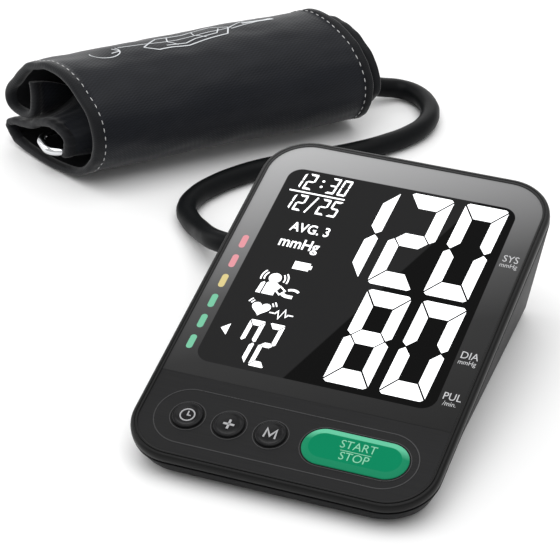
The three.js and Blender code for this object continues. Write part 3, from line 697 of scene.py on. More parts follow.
# ---- operators: the desk unit ----------------------------------------------------------------
class MONITOR_OT_case(bpy.types.Operator):
    """Builds the lower shell, the rim and dresses the small parts that the frame already holds"""
    bl_idname = "monitor.case"
    bl_label = "Case"

    def rim(self, unit):
        """A band round the face: rounded outside, a flat top, a fine groove and a step down to the face."""
        levels = [(0.9, -2.6), (0.25, -2.5), (0.0, -2.2), (0.0, -1.1), (0.12, -0.45), (0.45, 0.1),
                  (0.85, 0.35), (1.3, 0.42), (1.38, 0.36), (1.42, 0.1), (1.62, 0.1), (1.68, 0.36),
                  (1.8, 0.44), (2.1, 0.44), (2.3, 0.36), (2.38, 0.2), (2.38, -1.8)]
        half = FACE_WIDTH / 2 + RIM
        rings = []
        bm = bmesh.new()
        for inset, height in levels:
            radius = unit.corner_radius - inset
            across, back, front = half - inset, RIM - inset, -FACE_LENGTH - RIM + inset
            outline = arc(across - radius, front + radius, radius, -90, 0, unit.corner_steps)
            outline += arc(across - radius, back - radius, radius, 0, 90, unit.corner_steps)
            outline += arc(radius - across, back - radius, radius, 90, 180, unit.corner_steps)
            outline += arc(radius - across, front + radius, radius, 180, 270, unit.corner_steps)
            rings.append([bm.verts.new((x, y, height)) for x, y in outline])
        skin(bm, rings)
        floor = [bm.faces.new(rings[0]), bm.faces.new(rings[-1])]
        bmesh.ops.triangulate(bm, faces=floor)
        finish("rim", bm, FACE, LOOKS["rim"], "monitor", ["upper_housing"], sharp=50)

    def shell(self, unit):
        """The wedge from the sloping top to the narrower base, whose back corners are tighter."""
        half = FACE_WIDTH / 2 + RIM
        span = FACE_LENGTH + 2 * RIM
        bm = bmesh.new()
        bounds = (-half, half, -RIM, FACE_LENGTH + RIM)
        outline_face(bm, *bounds, unit.corner_radius, unit.corner_radius, unit.corner_steps)
        top = next(iter(bm.faces))
        outline_face(bm, *bounds, BASE_BACK_RADIUS, unit.corner_radius, unit.corner_steps)
        base = next(face for face in bm.faces if face != top)
        slope = Matrix.Translation((0, 0, FACE_BACK_HEIGHT)) @ Matrix.Rotation(FACE_TILT, 4, "X")
        to_slope = slope @ Matrix.Translation((0, 0, SHELL_TOP))
        bmesh.ops.transform(bm, matrix=to_slope, verts=top.verts)
        for vert in base.verts:
            share = (RIM - vert.co.y) / span
            base_half = BASE_HALF_BACK + share * (BASE_HALF_FRONT - BASE_HALF_BACK)
            vert.co = (vert.co.x * base_half / half, BASE_BACK + share * (BASE_FRONT - BASE_BACK), FLOOR)
        bmesh.ops.bridge_loops(bm, edges=list(top.edges) + list(base.edges))
        bmesh.ops.recalc_face_normals(bm, faces=bm.faces)
        soften(bm, [base], BASE_BEVEL, 4)
        top = max((face for face in bm.faces if face.normal.z > 0.9), key=lambda face: face.calc_area())
        soften(bm, [top], TOP_BEVEL, 2)
        shell = finish("lower_shell", bm, UNIT, LOOKS["case"], "monitor", ["lower_housing"])
        self.cut(shell)

    def cut(self, shell):
        """Cuts the door notch, foot seats, screw wells and hose port out of the shell."""
        bm = bmesh.new()
        low, high = (Vector(corner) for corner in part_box("battery_door"))
        block = bmesh.ops.create_cube(bm, size=1)["verts"]
        place = Matrix.Translation((low + high) / 2 + DOOR_SHIFT)
        bmesh.ops.transform(bm, matrix=place @ Matrix.Diagonal((*(high - low + DOOR_ROOM), 1)), verts=block)
        for name, (radius, depth) in (("rubber_foot", FOOT_SEAT), ("case_screw", SCREW_WELL)):
            for number in range(1, 5):
                place = middle_of(f"{name}_{number}")
                made = bmesh.ops.create_cone(bm, cap_ends=True, segments=32, radius1=radius, radius2=radius,
                                             depth=depth + CUT_BELOW)
                bmesh.ops.translate(bm, verts=made["verts"], vec=(place.x, place.y, (depth - CUT_BELOW) / 2))
        port = middle_of("air_socket")
        port.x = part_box("air_socket")[0][0] + PORT_SHIFT
        made = bmesh.ops.create_cone(bm, cap_ends=True, segments=40, radius1=PORT_RADIUS, radius2=PORT_RADIUS,
                                     depth=PORT_LENGTH)
        bmesh.ops.rotate(bm, verts=made["verts"], matrix=Matrix.Rotation(math.pi / 2, 3, "Y"))
        bmesh.ops.translate(bm, verts=made["verts"], vec=port)
        mesh = bpy.data.meshes.new("cutter")
        bm.to_mesh(mesh)
        bm.free()
        cutter = bpy.data.objects.new("cutter", mesh)
        bpy.context.scene.collection.objects.link(cutter)
        modifier = shell.modifiers.new("cut", "BOOLEAN")
        modifier.object = cutter
        modifier.operation = "DIFFERENCE"
        modifier.solver = "EXACT"
        modifier.use_self = True
        result = bpy.data.meshes.new_from_object(shell.evaluated_get(bpy.context.evaluated_depsgraph_get()))
        shell.modifiers.clear()
        shell.data = result
        result.set_sharp_from_angle(angle=math.radians(SHARP))
        bpy.data.objects.remove(cutter)

    def execute(self, context):
        unit, _, _ = settings()
        self.rim(unit)
        self.shell(unit)
        dress = {
            "case": ["battery_tray", "battery_door"], "screen": ["lcd_panel"], "backlight": ["lcd_backlight"],
            "circuit": ["main_board", "key_board"], "white": ["pump_head", "pressure_sensor"],
            "steel": ["pump_motor", "battery_contact_left", "battery_contact_right"],
            "rubber": ["keypad_membrane", "exhaust_valve", "internal_air_tube", "air_socket"],
            "key": ["buzzer"], "red": ["status_light_1", "status_light_2"], "yellow": ["status_light_3"],
            "green": ["status_light_4", "status_light_5", "status_light_6"], "cell": [],
        }
        for number in range(1, 5):
            dress["steel"].append(f"case_screw_{number}")
            dress["rubber"].append(f"rubber_foot_{number}")
            dress["cell"].append(f"battery_{number}")
        for look, nodes in dress.items():
            for node in nodes:
                dress_node(node, look)
        return {"FINISHED"}


class MONITOR_OT_face(bpy.types.Operator):
    """Builds the screen cover, the key panel with its groove and the printed labels"""
    bl_idname = "monitor.face"
    bl_label = "Face"

    def execute(self, context):
        unit, _, _ = settings()
        half = FACE_WIDTH / 2 - 0.1
        radius = unit.corner_radius - RIM - 0.1
        cover = plate((-half, half, 0.1, SPLIT - 0.2), (radius, 0), -1.5, 0.0, unit.corner_steps, 0.25)
        finish("screen_cover", cover, FACE, LOOKS["lens"], "monitor", ["display_lens"])
        panel = plate((-half, half, SPLIT + 0.2, FACE_LENGTH - 0.1), (0, radius), -1.5, 0.0,
                      unit.corner_steps, 0.3)
        finish("key_panel", panel, FACE, LOOKS["panel"], "monitor", ["button_panel"])
        self.wells()
        self.labels()
        return {"FINISHED"}

    def wells(self):
        """Dark strips of painted shade for the gaps round the keys, a fine bright edge round each and the
        groove that frames them all.
        """
        gaps, edges = bmesh.new(), bmesh.new()
        for across in ROUND_KEYS.values():
            # Painted shade: dark strips lie flat on the panel where the gaps round the keys would be.
            strip(gaps, arc(across, -BUTTON_ROW, 5.15, 0, 360, 64)[:-1], 0.55, 0.0, 0.02, closed=True)
            strip(edges, arc(across, -BUTTON_ROW, 5.55, 0, 360, 64)[:-1], 0.26, 0.0, 0.1, closed=True)
        reach = START["half"] - START["width"]
        for bm, grow, width, high in ((gaps, 0.2, 0.5, 0.02), (edges, 0.6, 0.24, 0.1)):
            outline = arc(START["centre"] + reach, -BUTTON_ROW, START["width"] + grow, -90, 90, 28)
            outline += arc(START["centre"] - reach, -BUTTON_ROW, START["width"] + grow, 90, 270, 28)
            strip(bm, outline, width, 0.0, high, closed=True)
        frame_line = arc(31.2, -BUTTON_ROW, 10.6, -90, 90, 32) + arc(-32.0, -BUTTON_ROW, 10.6, 90, 270, 32)
        strip(edges, frame_line, 0.3, 0.0, 0.06, closed=True)
        finish("key_gaps", gaps, FACE, LOOKS["groove"], "monitor", tidy=False)
        finish("key_edges", edges, FACE, LOOKS["edge"], "monitor", tidy=False)

    def labels(self):
        """What the three readings are, and their units, down the right side of the screen."""
        bm = bmesh.new()
        for words, unit_words, down in (("SYS", "mmHg", 32.6), ("DIA", "mmHg", 75.0), ("PUL", "/min.", 92.1)):
            lettering(bm, words, 4.1, LABELS_ACROSS, -down, PRINT_LIFT, 0.86, bold=0.0)
            lettering(bm, unit_words, 2.6, LABELS_ACROSS, -down - LABEL_DROP, PRINT_LIFT, 0.84, bold=0.0)
        finish("scale_labels", bm, FACE, LOOKS["label"], "monitor", tidy=False)


# Which bars each figure lights: a top, b upper right, c lower right, d bottom, e lower left, f upper left,
# g middle.
BARS = {"0": "abcdef", "1": "bc", "2": "abged", "3": "abgcd", "5": "afgcd", "7": "abcf", "8": "abcdefg"}


def seven_bar(bm, figure, left, right, top, bottom, thick, low, high, lean, split, tall_share=1.6):
    """One seven-bar figure in a box given across and down the face; lean pushes its top to the right."""
    gap = thick * split
    middle = (top + bottom) / 2
    tip = thick * 0.42
    tall = thick * tall_share
    curl = thick * 0.3
    shoulder = tall * 0.12
    outlines = {
        "g": [(left + thick * 0.5, middle), (left + thick + gap, middle - tall / 2 + gap),
              (right - thick - gap, middle - tall / 2 + gap), (right - thick * 0.5, middle),
              (right - thick - gap, middle + tall / 2 - gap), (left + thick + gap, middle + tall / 2 - gap)],
    }
    for bar, end, away in (("a", top, 1), ("d", bottom, -1)):
        outlines[bar] = [(left + curl, end), (right - curl, end), (right - gap, end + away * shoulder),
                         (right - thick - gap, end + away * tall), (left + thick + gap, end + away * tall),
                         (left + gap, end + away * shoulder)]
    for bar, side, inward, end, away in (("b", right, -1, top, 1), ("c", right, -1, bottom, -1),
                                         ("e", left, 1, bottom, -1), ("f", left, 1, top, 1)):
        inner = side + inward * thick
        outlines[bar] = [(side, end + away * (shoulder + gap * 2)), (side, middle - away * tip),
                         (side + inward * thick * 0.4, middle - away * gap),
                         (inner, middle - away * tall * 0.5), (inner, end + away * (tall + gap * 2))]
    for bar in BARS[figure]:
        points = [(x + (middle - y) * lean, -y) for x, y in outlines[bar]]
        flat_shape(bm, points, low, high)


class MONITOR_OT_figures(bpy.types.Operator):
    """Builds the lit figures and signs on the screen"""
    bl_idname = "monitor.figures"
    bl_label = "Screen figures"

    def execute(self, context):
        bm = bmesh.new()
        low, high = 0.0, PRINT_LIFT
        big = [("1", -14.4, -0.9, 12.2, 53.8), ("2", 2.6, 17.3, 12.0, 54.0), ("0", 21.2, 35.8, 12.0, 54.0),
               ("8", 3.0, 17.6, 56.3, 96.4), ("0", 21.2, 35.8, 56.3, 96.4)]
        for figure, left, right, top, bottom in big:
            seven_bar(bm, figure, left, right, top, bottom, 4.0, low, high, lean=0.03, split=0.075)
        for index, figure in enumerate("72"):
            left = -28.2 + index * 6.6
            seven_bar(bm, figure, left, left + 5.1, 78.4, 96.8, 1.4, low, high, lean=0.04, split=0.12)
        for digits, top in (("12:30", 12.2), ("12/25", 22.2)):
            left = -36.5
            for sign in digits:
                if sign in BARS:
                    seven_bar(bm, sign, left, left + 3.0, top, top + 7.4, 0.66, low, high, lean=0.1,
                              split=0.14, tall_share=1.25)
                elif sign == ":":
                    for down in (2.4, 5.0):
                        flat_shape(bm, arc(left + 1.6, -top - down, 0.5, 0, 337.5, 15), low, high)
                else:
                    strip(bm, [(left + 0.2, -top - 7.6), (left + 2.6, -top)], 0.6, low, high)
                left += 4.0
        strip(bm, [(-36.6, -21.0), (-17.3, -21.0)], 0.6, low, high)
        lettering(bm, "AVG. 3", 5.6, -23.4, -36.8, high, 0.8, bold=0.018)
        lettering(bm, "mmHg", 6.2, -24.7, -43.9, high, 0.82, bold=0.016)
        self.signs(bm, low, high)
        finish("screen_figures", bm, FACE, LOOKS["figure"], "monitor", tidy=False)
        return {"FINISHED"}

    def signs(self, bm, low, high):
        """A battery, a person with a cuff, a beating heart with its trace, and the pulse pointer."""
        flat_shape(bm, [(-23.2, -54.5), (-17.8, -54.5), (-17.8, -53.6), (-17.0, -53.6), (-17.0, -52.0),
                        (-17.8, -52.0), (-17.8, -51.1), (-23.2, -51.1)], low, high)
        flat_shape(bm, arc(-26.8, -59.9, 2.1, 0, 345, 23), low, high)
        flat_shape(bm, [(-28.9, -67.2), (-24.9, -67.2), (-24.9, -64.9), (-23.9, -62.9), (-25.2, -61.9),
                        (-28.2, -61.9), (-28.7, -62.6)], low, high)
        flat_shape(bm, [(-30.9, -67.2), (-29.4, -67.2), (-29.2, -62.5), (-29.6, -62.1), (-30.5, -62.9)],
                   low, high)
        strip(bm, [(-23.8, -62.9), (-21.7, -64.5), (-23.1, -66.4), (-24.7, -65.0)], 0.5, low, high,
              closed=True)
        strip(bm, [(-22.2, -65.9), (-20.9, -66.5), (-18.6, -66.5)], 1.3, low, high)
        strip(bm, arc(-19.2, -66.3, 2.9, 50, 125, 8), 0.9, low, high)
        for start, end in ((140, 195), (-15, 40)):
            for radius in (3.4, 4.5):
                strip(bm, arc(-26.9, -60.2, radius, start, end, 8), 0.5, low, high)
        heart = []
        for step in range(40):
            turn = math.tau * step / 40
            across = 16 * math.sin(turn) ** 3
            up = 13 * math.cos(turn) - 5 * math.cos(2 * turn) - 2 * math.cos(3 * turn) - math.cos(4 * turn)
            heart.append((-26.6 - across * 0.195, -73.4 + up * 0.195))
        flat_shape(bm, heart, low, high)
        for centre, start, end in ((-26.6, 138, 160), (-26.6, 20, 42)):
            for radius in (4.0, 5.0):
                strip(bm, arc(centre, -73.2, radius, start, end, 6), 0.45, low, high)
        strip(bm, [(-23.3, -74.3), (-21.4, -74.3), (-20.7, -73.0), (-19.8, -76.2), (-18.6, -72.0),
                   (-17.7, -75.0), (-17.1, -74.0), (-15.4, -74.0)], 0.45, low, high)
        flat_shape(bm, [(-35.8, -84.4), (-33.3, -86.8), (-33.3, -82.0)], low, high)


class MONITOR_OT_keys(bpy.types.Operator):
    """Builds the dished round keys, the start key and their signs"""
    bl_idname = "monitor.keys"
    bl_label = "Keys"

    def execute(self, context):
        profile = [(0, -2.9), (2, -2.9), (2, -2.2), (4.9, -2.2), (4.9, 0.35), (4.82, 0.62), (4.6, 0.82),
                   (4.3, 0.9), (4.0, 0.86), (3.75, 0.72), (3.3, 0.56), (2.4, 0.44), (1.2, 0.38), (0, 0.36)]
        for key, across in ROUND_KEYS.items():
            bm = spun(profile, 72)
            place = FACE @ Matrix.Translation((across, -BUTTON_ROW, 0))
            finish(f"{key}_key_cap", bm, place, LOOKS["key"], f"{key}_key", [f"{key}_button"])
            bm = bmesh.new()
            low, high = 0.3, 0.62
            if key == "clock":
                strip(bm, arc(0, 0, 2.25, 0, 360, 40)[:-1], 0.42, low, high, closed=True)
                strip(bm, [(0, 1.5), (0, -0.1), (1.1, -0.1)], 0.4, low, high)
            elif key == "plus":
                strip(bm, [(-1.8, 0), (1.8, 0)], 0.72, low, high)
                strip(bm, [(0, -1.8), (0, 1.8)], 0.72, low, high)
            else:
                strip(bm, [(-1.8, -1.7), (-1.55, 1.7), (0, -0.9), (1.55, 1.7), (1.8, -1.7)], 0.6, low, high)
            finish(f"{key}_sign", bm, place, LOOKS["key_print"], f"{key}_key",
                   tidy=False)
        self.start_key()
        return {"FINISHED"}

    def start_key(self):
        """The long key with its wide chamfer, and its words."""
        centre, half, width = START["centre"], START["half"], START["width"]
        levels = [(0, -2.2), (0, 0.1), (0.08, 0.26), (0.25, 0.36), (2.2, 0.86), (2.4, 0.9), (2.7, 0.9),
                  (3.4, 0.86)]
        bm = bmesh.new()
        rings = []
        for inset, height in levels:
            reach, radius = half - width, width - inset
            outline = arc(centre + reach, -BUTTON_ROW, radius, -90, 90, 32)
            outline += arc(centre - reach, -BUTTON_ROW, radius, 90, 270, 32)
            rings.append([bm.verts.new((x, y, height)) for x, y in outline])
        skin(bm, rings)
        bm.faces.new(rings[0])
        bm.faces.new(rings[-1])
        finish("start_key_cap", bm, FACE, LOOKS["start"], "start_key", ["start_button"])
        bm = bmesh.new()
        low, high = 0.85, 0.94
        lettering(bm, "START", 4.3, centre + 0.5, -BUTTON_ROW + 1.9, high, 0.92, bold=0.0)
        lettering(bm, "STOP", 4.3, centre + 0.5, -BUTTON_ROW - 2.5, high, 0.92, bold=0.0)
        strip(bm, [(centre - 4.5, -BUTTON_ROW - 0.35), (centre + 5.3, -BUTTON_ROW - 0.35)], 0.24, low, high)
        finish("start_words", bm, FACE, LOOKS["start_print"], "start_key", tidy=False)


# ---- operators: the cuff and the hose --------------------------------------------------------
# Millimetres along, across and above the roll, apart from SKEW and the shares of the winding.
SKEW = 0.3
HALF_LENGTH = 55.0
HALF_DEPTH = 26.0
HALF_HEIGHT = 21.3
LIP_REACH = 5.5
TAPE_WIDTH = 3.4
TAPE_SWELL = 0.22
BAND_ROWS = 260
CLOTH_PER_DEGREE = 0.42
PRINT_PER_DEGREE = 0.4
STITCH = {"inset": 0.5, "pitch": 3.1, "length": 1.9, "radius": 0.2, "lift": 0.12, "step": 0.0006}
WIRE = {"left": -58, "right": 26, "near": -6, "far": 8, "bend": 5, "height": 10.4, "radius": 1.6}

# The band from its inner end to its outer one. In the roll it lies at a turn (0 far side, 90 top, degrees)
# and a depth under the outer surface, mm. The last pair is its place (y, z) at the crumpled left end, or None
# where the end is as round as the rest.
WINDING = [
    (215, 4.4, (-8.0, 8.6)), (185, 3.6, (-10.6, 13.6)), (150, 3.2, (-9.2, 18.6)), (118, 3.1, (-2.6, 20.0)),
    (85, 3.1, (5.6, 18.4)), (50, 3.1, (15.0, 13.6)), (15, 3.1, (24.5, 10.8)), (-12, 3.1, (27.6, 7.0)),
    (-45, 3.0, (22.5, 1.8)), (-75, 2.6, (10.0, 0.6)), (-100, 1.8, (-2.0, 0.8)), (-125, 0.9, (-12.5, 3.2)),
    (-150, 0.2, None), (-175, 0.0, None), (-200, 0.0, None), (-225, 0.0, None), (-250, 0.0, None),
    (-275, 0.0, None), (-298, 0.0, (14.0, 38.0)), (-318, 0.0, (22.5, 29.5)), (-334, 0.0, (28.6, 21.6)),
    (-348, 0.0, (27.0, 15.2)), (-360, 0.0, (18.6, 13.6)), (-372, 0.0, (12.2, 17.2)),
    (-382, 0.0, (10.4, 24.5)), (-392, 0.0, (11.6, 31.0)),
]


def eased(value):
    held = min(1.0, max(0.0, value))
    return held * held * (3 - 2 * held)


def through(points, share):
    """A smooth curve through points, at a share of the way along them."""
    place = share * (len(points) - 1)
    index = min(int(place), len(points) - 2)
    t = place - index
    a, b, c, d = (Vector(points[min(max(index + step, 0), len(points) - 1)]) for step in (-1, 0, 1, 2))
    square, cube = 2 * a - 5 * b + 4 * c - d, 3 * b - a - 3 * c + d
    return 0.5 * (2 * b + (c - a) * t + square * t * t + cube * t ** 3)


def round_place(turn, depth):
    angle = math.radians(turn)
    return (HALF_DEPTH - depth) * math.cos(angle), HALF_HEIGHT + (HALF_HEIGHT - depth) * math.sin(angle)


ROUND_PATH = [round_place(turn, depth) for turn, depth, _ in WINDING]
END_PATH = [crumpled or round_place(turn, depth) for turn, depth, crumpled in WINDING]
TURNS = [(turn, depth) for turn, depth, _ in WINDING]


def wound(share, x):
    """Where the outer face of the band runs, at a share of its winding and x along the roll."""
    turn, depth = through(TURNS, share)
    crumple = eased((-8.0 - x) / (HALF_LENGTH - 8.0))
    place = Vector(round_place(turn, depth)).lerp(through(END_PATH, share), crumple)
    return place, turn


def band_point(share, x, deep):
    """A point of the band, deep millimetres in from its outer face, with creases."""
    step = 0.0015
    before, _ = wound(max(0.0, share - step), x)
    after, turn = wound(min(1.0, share + step), x)
    place, _ = wound(share, x)
    along = (after - before).normalized()
    inward = Vector((along.y, -along.x))
    angle = math.radians(turn)
    where = Vector((x * 0.03, math.cos(angle) * 1.2, math.sin(angle) * 1.2 + turn * 0.002))
    crease = noise.noise(where * 1.5) * 0.75 + noise.noise(where * 4.1 + Vector((7, 1, 3))) * 0.28
    gathers = math.exp(-((HALF_LENGTH - abs(x)) / 11.0) ** 2)
    crease += gathers * 0.5 * noise.noise(Vector((x * 0.06, turn * 0.085, 4.0)))
    resting = eased((math.sin(angle) + 0.95) / 0.3)
    place = place + inward * (deep + crease * resting)
    place.y = max(place.y, 0.05)
    return Vector((x - SKEW * place.x, place.x, place.y))


def left_edge(turn):
    return -HALF_LENGTH - 1.2 * eased((turn + 130) / 60)


def right_edge(turn):
    return HALF_LENGTH + LIP_REACH * eased((turn + 150) / 60)


class MONITOR_OT_cuff(bpy.types.Operator):
    """Builds the rolled band with its bound edges, its stitches and its printed drawing"""
    bl_idname = "monitor.cuff"
    bl_label = "Cuff"

    def execute(self, context):
        _, cuff, _ = settings()
        self.band(cuff.thickness)
        self.stitches()
        self.drawing()
        self.wire()
        dress_node("ring_channel", "nylon")
        return {"FINISHED"}

    def wire(self):
        """The long wire ring that the band's end passes through."""
        left, right, near, far = WIRE["left"], WIRE["right"], WIRE["near"], WIRE["far"]
        bend = WIRE["bend"]
        path = arc(right - bend, near + bend, bend, -90, 0, 12)
        path += arc(right - bend, far - bend, bend, 0, 90, 12)
        path += arc(left + bend, far - bend, bend, 90, 180, 12)
        path += arc(left + bend, near + bend, bend, 180, 270, 12)
        ring = swept_ring([(x, y, WIRE["height"]) for x, y in path], WIRE["radius"])
        finish("wire_ring", ring, ROLL, LOOKS["chrome"], "ring", ["d_ring"], sharp=60)

    def section(self, turn, thickness):
        """The band's section as [x, depth, material]: out along the face, round the edges and back."""
        left, right = left_edge(turn), right_edge(turn)
        half = thickness / 2
        swell = TAPE_SWELL
        steps = 46
        inner_left, inner_right = left + TAPE_WIDTH, right - TAPE_WIDTH
        across = [inner_left + (inner_right - inner_left) * i / steps for i in range(steps + 1)]
        outer = [(x, 0.0, 0) for x in across]
        inner = [(x, thickness, 1) for x in reversed(across)]
        ends = []
        for side, edge in ((1, right), (-1, left)):
            rim = [(edge - side * (TAPE_WIDTH - 0.1), -swell),
                   (edge - side * TAPE_WIDTH * 0.55, -swell * 1.1)]
            curl = [(edge - side * half * (1 - math.sin(a)), half - (half + swell) * math.cos(a))
                    for a in (i * math.pi / 8 for i in range(9))]
            back = [(x, thickness - depth) for x, depth in reversed(rim)]
            ends.append([(x, depth, 2) for x, depth in rim + curl + back])
        return outer + ends[0] + inner + list(reversed(ends[1]))

    def band(self, thickness):
        """The padded band, one section after another along its winding."""
        bm = bmesh.new()
        uv = bm.loops.layers.uv.new("cloth")
        rows = []
        flat = {}
        for i in range(BAND_ROWS + 1):
            share = i / BAND_ROWS
            _, turn = wound(share, 0)
            row = []
            for x, deep, kind in self.section(turn, thickness):
                vert = bm.verts.new(band_point(share, x, deep))
                flat[vert] = (x, turn * CLOTH_PER_DEGREE)
                row.append((vert, kind))
            rows.append(row)
        for here, ahead in zip(rows, rows[1:]):
            for k, (vert, kind) in enumerate(here):
                following = (k + 1) % len(here)
                face = bm.faces.new([vert, here[following][0], ahead[following][0], ahead[k][0]])
                face.material_index = max(kind, here[following][1])
                for loop in face.loops:
                    loop[uv].uv = flat[loop.vert]
        for row in (rows[0], rows[-1]):
            cap = bm.faces.new([vert for vert, _ in row])
            cap.material_index = 2
            bmesh.ops.triangulate(bm, faces=[cap])
        bmesh.ops.recalc_face_normals(bm, faces=bm.faces)
        piece = finish("cuff_band", bm, ROLL, [LOOKS["nylon"], LOOKS["lining"], LOOKS["tape"]], "cuff",
                       ["cuff_outer_cloth", "cuff_lining", "cuff_bladder", "cuff_inner_fold", "hook_patch"],
                       sharp=75, tidy=False)

    def stitches(self):
        """Two rows of stitches beside the bound edges."""
        bm = bmesh.new()
        inset = TAPE_WIDTH + STITCH["inset"]
        for side, start, end in (("left", 0.40, 0.93), ("right", 0.42, 0.93), ("right", 0.0, 0.36)):
            travelled = 0.0
            last = None
            share = start
            begun = None
            while share < end:
                _, turn = wound(share, 0)
                x = left_edge(turn) + inset if side == "left" else right_edge(turn) - inset
                here = band_point(share, x, -STITCH["lift"])
                travelled += (here - last).length if last else 0.0
                last = here
                if travelled % STITCH["pitch"] < STITCH["length"]:
                    begun = begun or here
                elif begun:
                    self.thread(bm, begun, here)
                    begun = None
                share += STITCH["step"]
        finish("cuff_stitches", bm, ROLL, LOOKS["thread"], "cuff")

    def thread(self, bm, start, end):
        """One stitch, a fine bead drawn out between two points."""
        middle = (start + end) / 2
        along = end - start
        radius = STITCH["radius"]
        made = bmesh.ops.create_icosphere(bm, subdivisions=1, radius=1.0)["verts"]
        turn = along.to_track_quat("X", "Z").to_matrix().to_4x4()
        bmesh.ops.transform(bm, matrix=Matrix.Translation(middle) @ turn
                            @ Matrix.Diagonal((along.length / 2, radius, radius, 1)), verts=made)

    def drawing(self):
        """A generic line drawing of an arm in a cuff, printed on the top of the roll."""
        bm = bmesh.new()
        circle = [(-32 + 5.2 * math.cos(a), 85 + 9.5 * math.sin(a))
                  for a in (math.radians(degrees) for degrees in range(-20, 215, 12))]
        lines = [
            (circle, 0.4), ([(-28.5, 82), (-26.9, 88), (-30.5, 89)], 0.45),
            ([(-14, 96), (-9, 96), (-3, 98), (4, 95), (14, 92), (18, 80), (12, 74), (0, 78)], 0.5),
            ([(-14, 96), (-18, 89), (-10, 77), (0, 78)], 0.5),
            ([(-10, 92), (-3, 94), (2, 90), (11, 88), (14, 80)], 0.4),
            ([(-26, 82), (-16, 84), (-4, 86), (12, 84), (19, 81)], 0.35),
            ([(-6, 78), (-8, 86), (-6, 94)], 0.4),
            ([(4, 77), (3, 84), (6, 91)], 0.4), ([(18, 81), (26, 73), (33, 66)], 0.45),
            ([(18, 84), (27, 81), (36, 77)], 0.45), ([(24, 78), (30, 79), (36, 80)], 1.2),
        ]
        for points, width in lines:
            self.printed(bm, points, width)
        finish("cuff_print", bm, ROLL, LOOKS["cloth_print"], "cuff", tidy=False)

    def printed(self, bm, points, width):
        """A line on the cloth; each point is x along the roll and the turn where it lies."""
        def on_cloth(x, turn):
            low, high = 0.4, 1.0
            for _ in range(24):
                middle = (low + high) / 2
                _, found = wound(middle, 0)
                if found > turn - 360:
                    low = middle
                else:
                    high = middle
            return band_point((low + high) / 2, x, -0.1)

        dense = []
        for (x0, turn0), (x1, turn1) in zip(points, points[1:]):
            pieces = max(1, int(math.hypot(x1 - x0, (turn1 - turn0) * PRINT_PER_DEGREE) / 1.5))
            dense += [(x0 + (x1 - x0) * i / pieces, turn0 + (turn1 - turn0) * i / pieces)
                      for i in range(pieces)]
        dense.append(points[-1])
        per_degree = PRINT_PER_DEGREE
        for (x0, turn0), (x1, turn1) in zip(dense, dense[1:]):
            run = Vector((x1 - x0, (turn1 - turn0) * per_degree))
            side = Vector((-run.y, run.x)).normalized() * width / 2
            corners = [(x0 + side.x, turn0 + side.y / per_degree), (x1 + side.x, turn1 + side.y / per_degree),
                       (x1 - side.x, turn1 - side.y / per_degree), (x0 - side.x, turn0 - side.y / per_degree)]
            bm.faces.new([bm.verts.new(on_cloth(x, turn)) for x, turn in corners])


HOSE_LIE = 3.95
HOSE_ROUTE = [
    (-80.2, 98, 13.5), (-75.2, 103, 13.4), (-68.6, 110.2, 12), (-61.4, 118.6, 8.8), (-55.4, 125.6, 6),
    (-49.4, 129.9, 4.3), (-42.6, 128.6, HOSE_LIE), (-36.4, 123, HOSE_LIE), (-32.4, 115.2, HOSE_LIE),
    (-31.4, 106, HOSE_LIE), (-34.2, 96, HOSE_LIE), (-40.2, 86.2, HOSE_LIE), (-46.8, 78.2, HOSE_LIE),
    (-55, 70.2, HOSE_LIE), (-65, 61.8, HOSE_LIE), (-74, 53.6, HOSE_LIE), (-81.2, 44.8, HOSE_LIE),
    (-87, 34.4, HOSE_LIE), (-90.2, 23.8, HOSE_LIE), (-89.4, 14.4, HOSE_LIE), (-84.2, 6.6, 4.4),
    (-77.6, -0.6, 6.2), (-72.2, -7, 8.6), (-66.6, -12.2, 10.8),
]


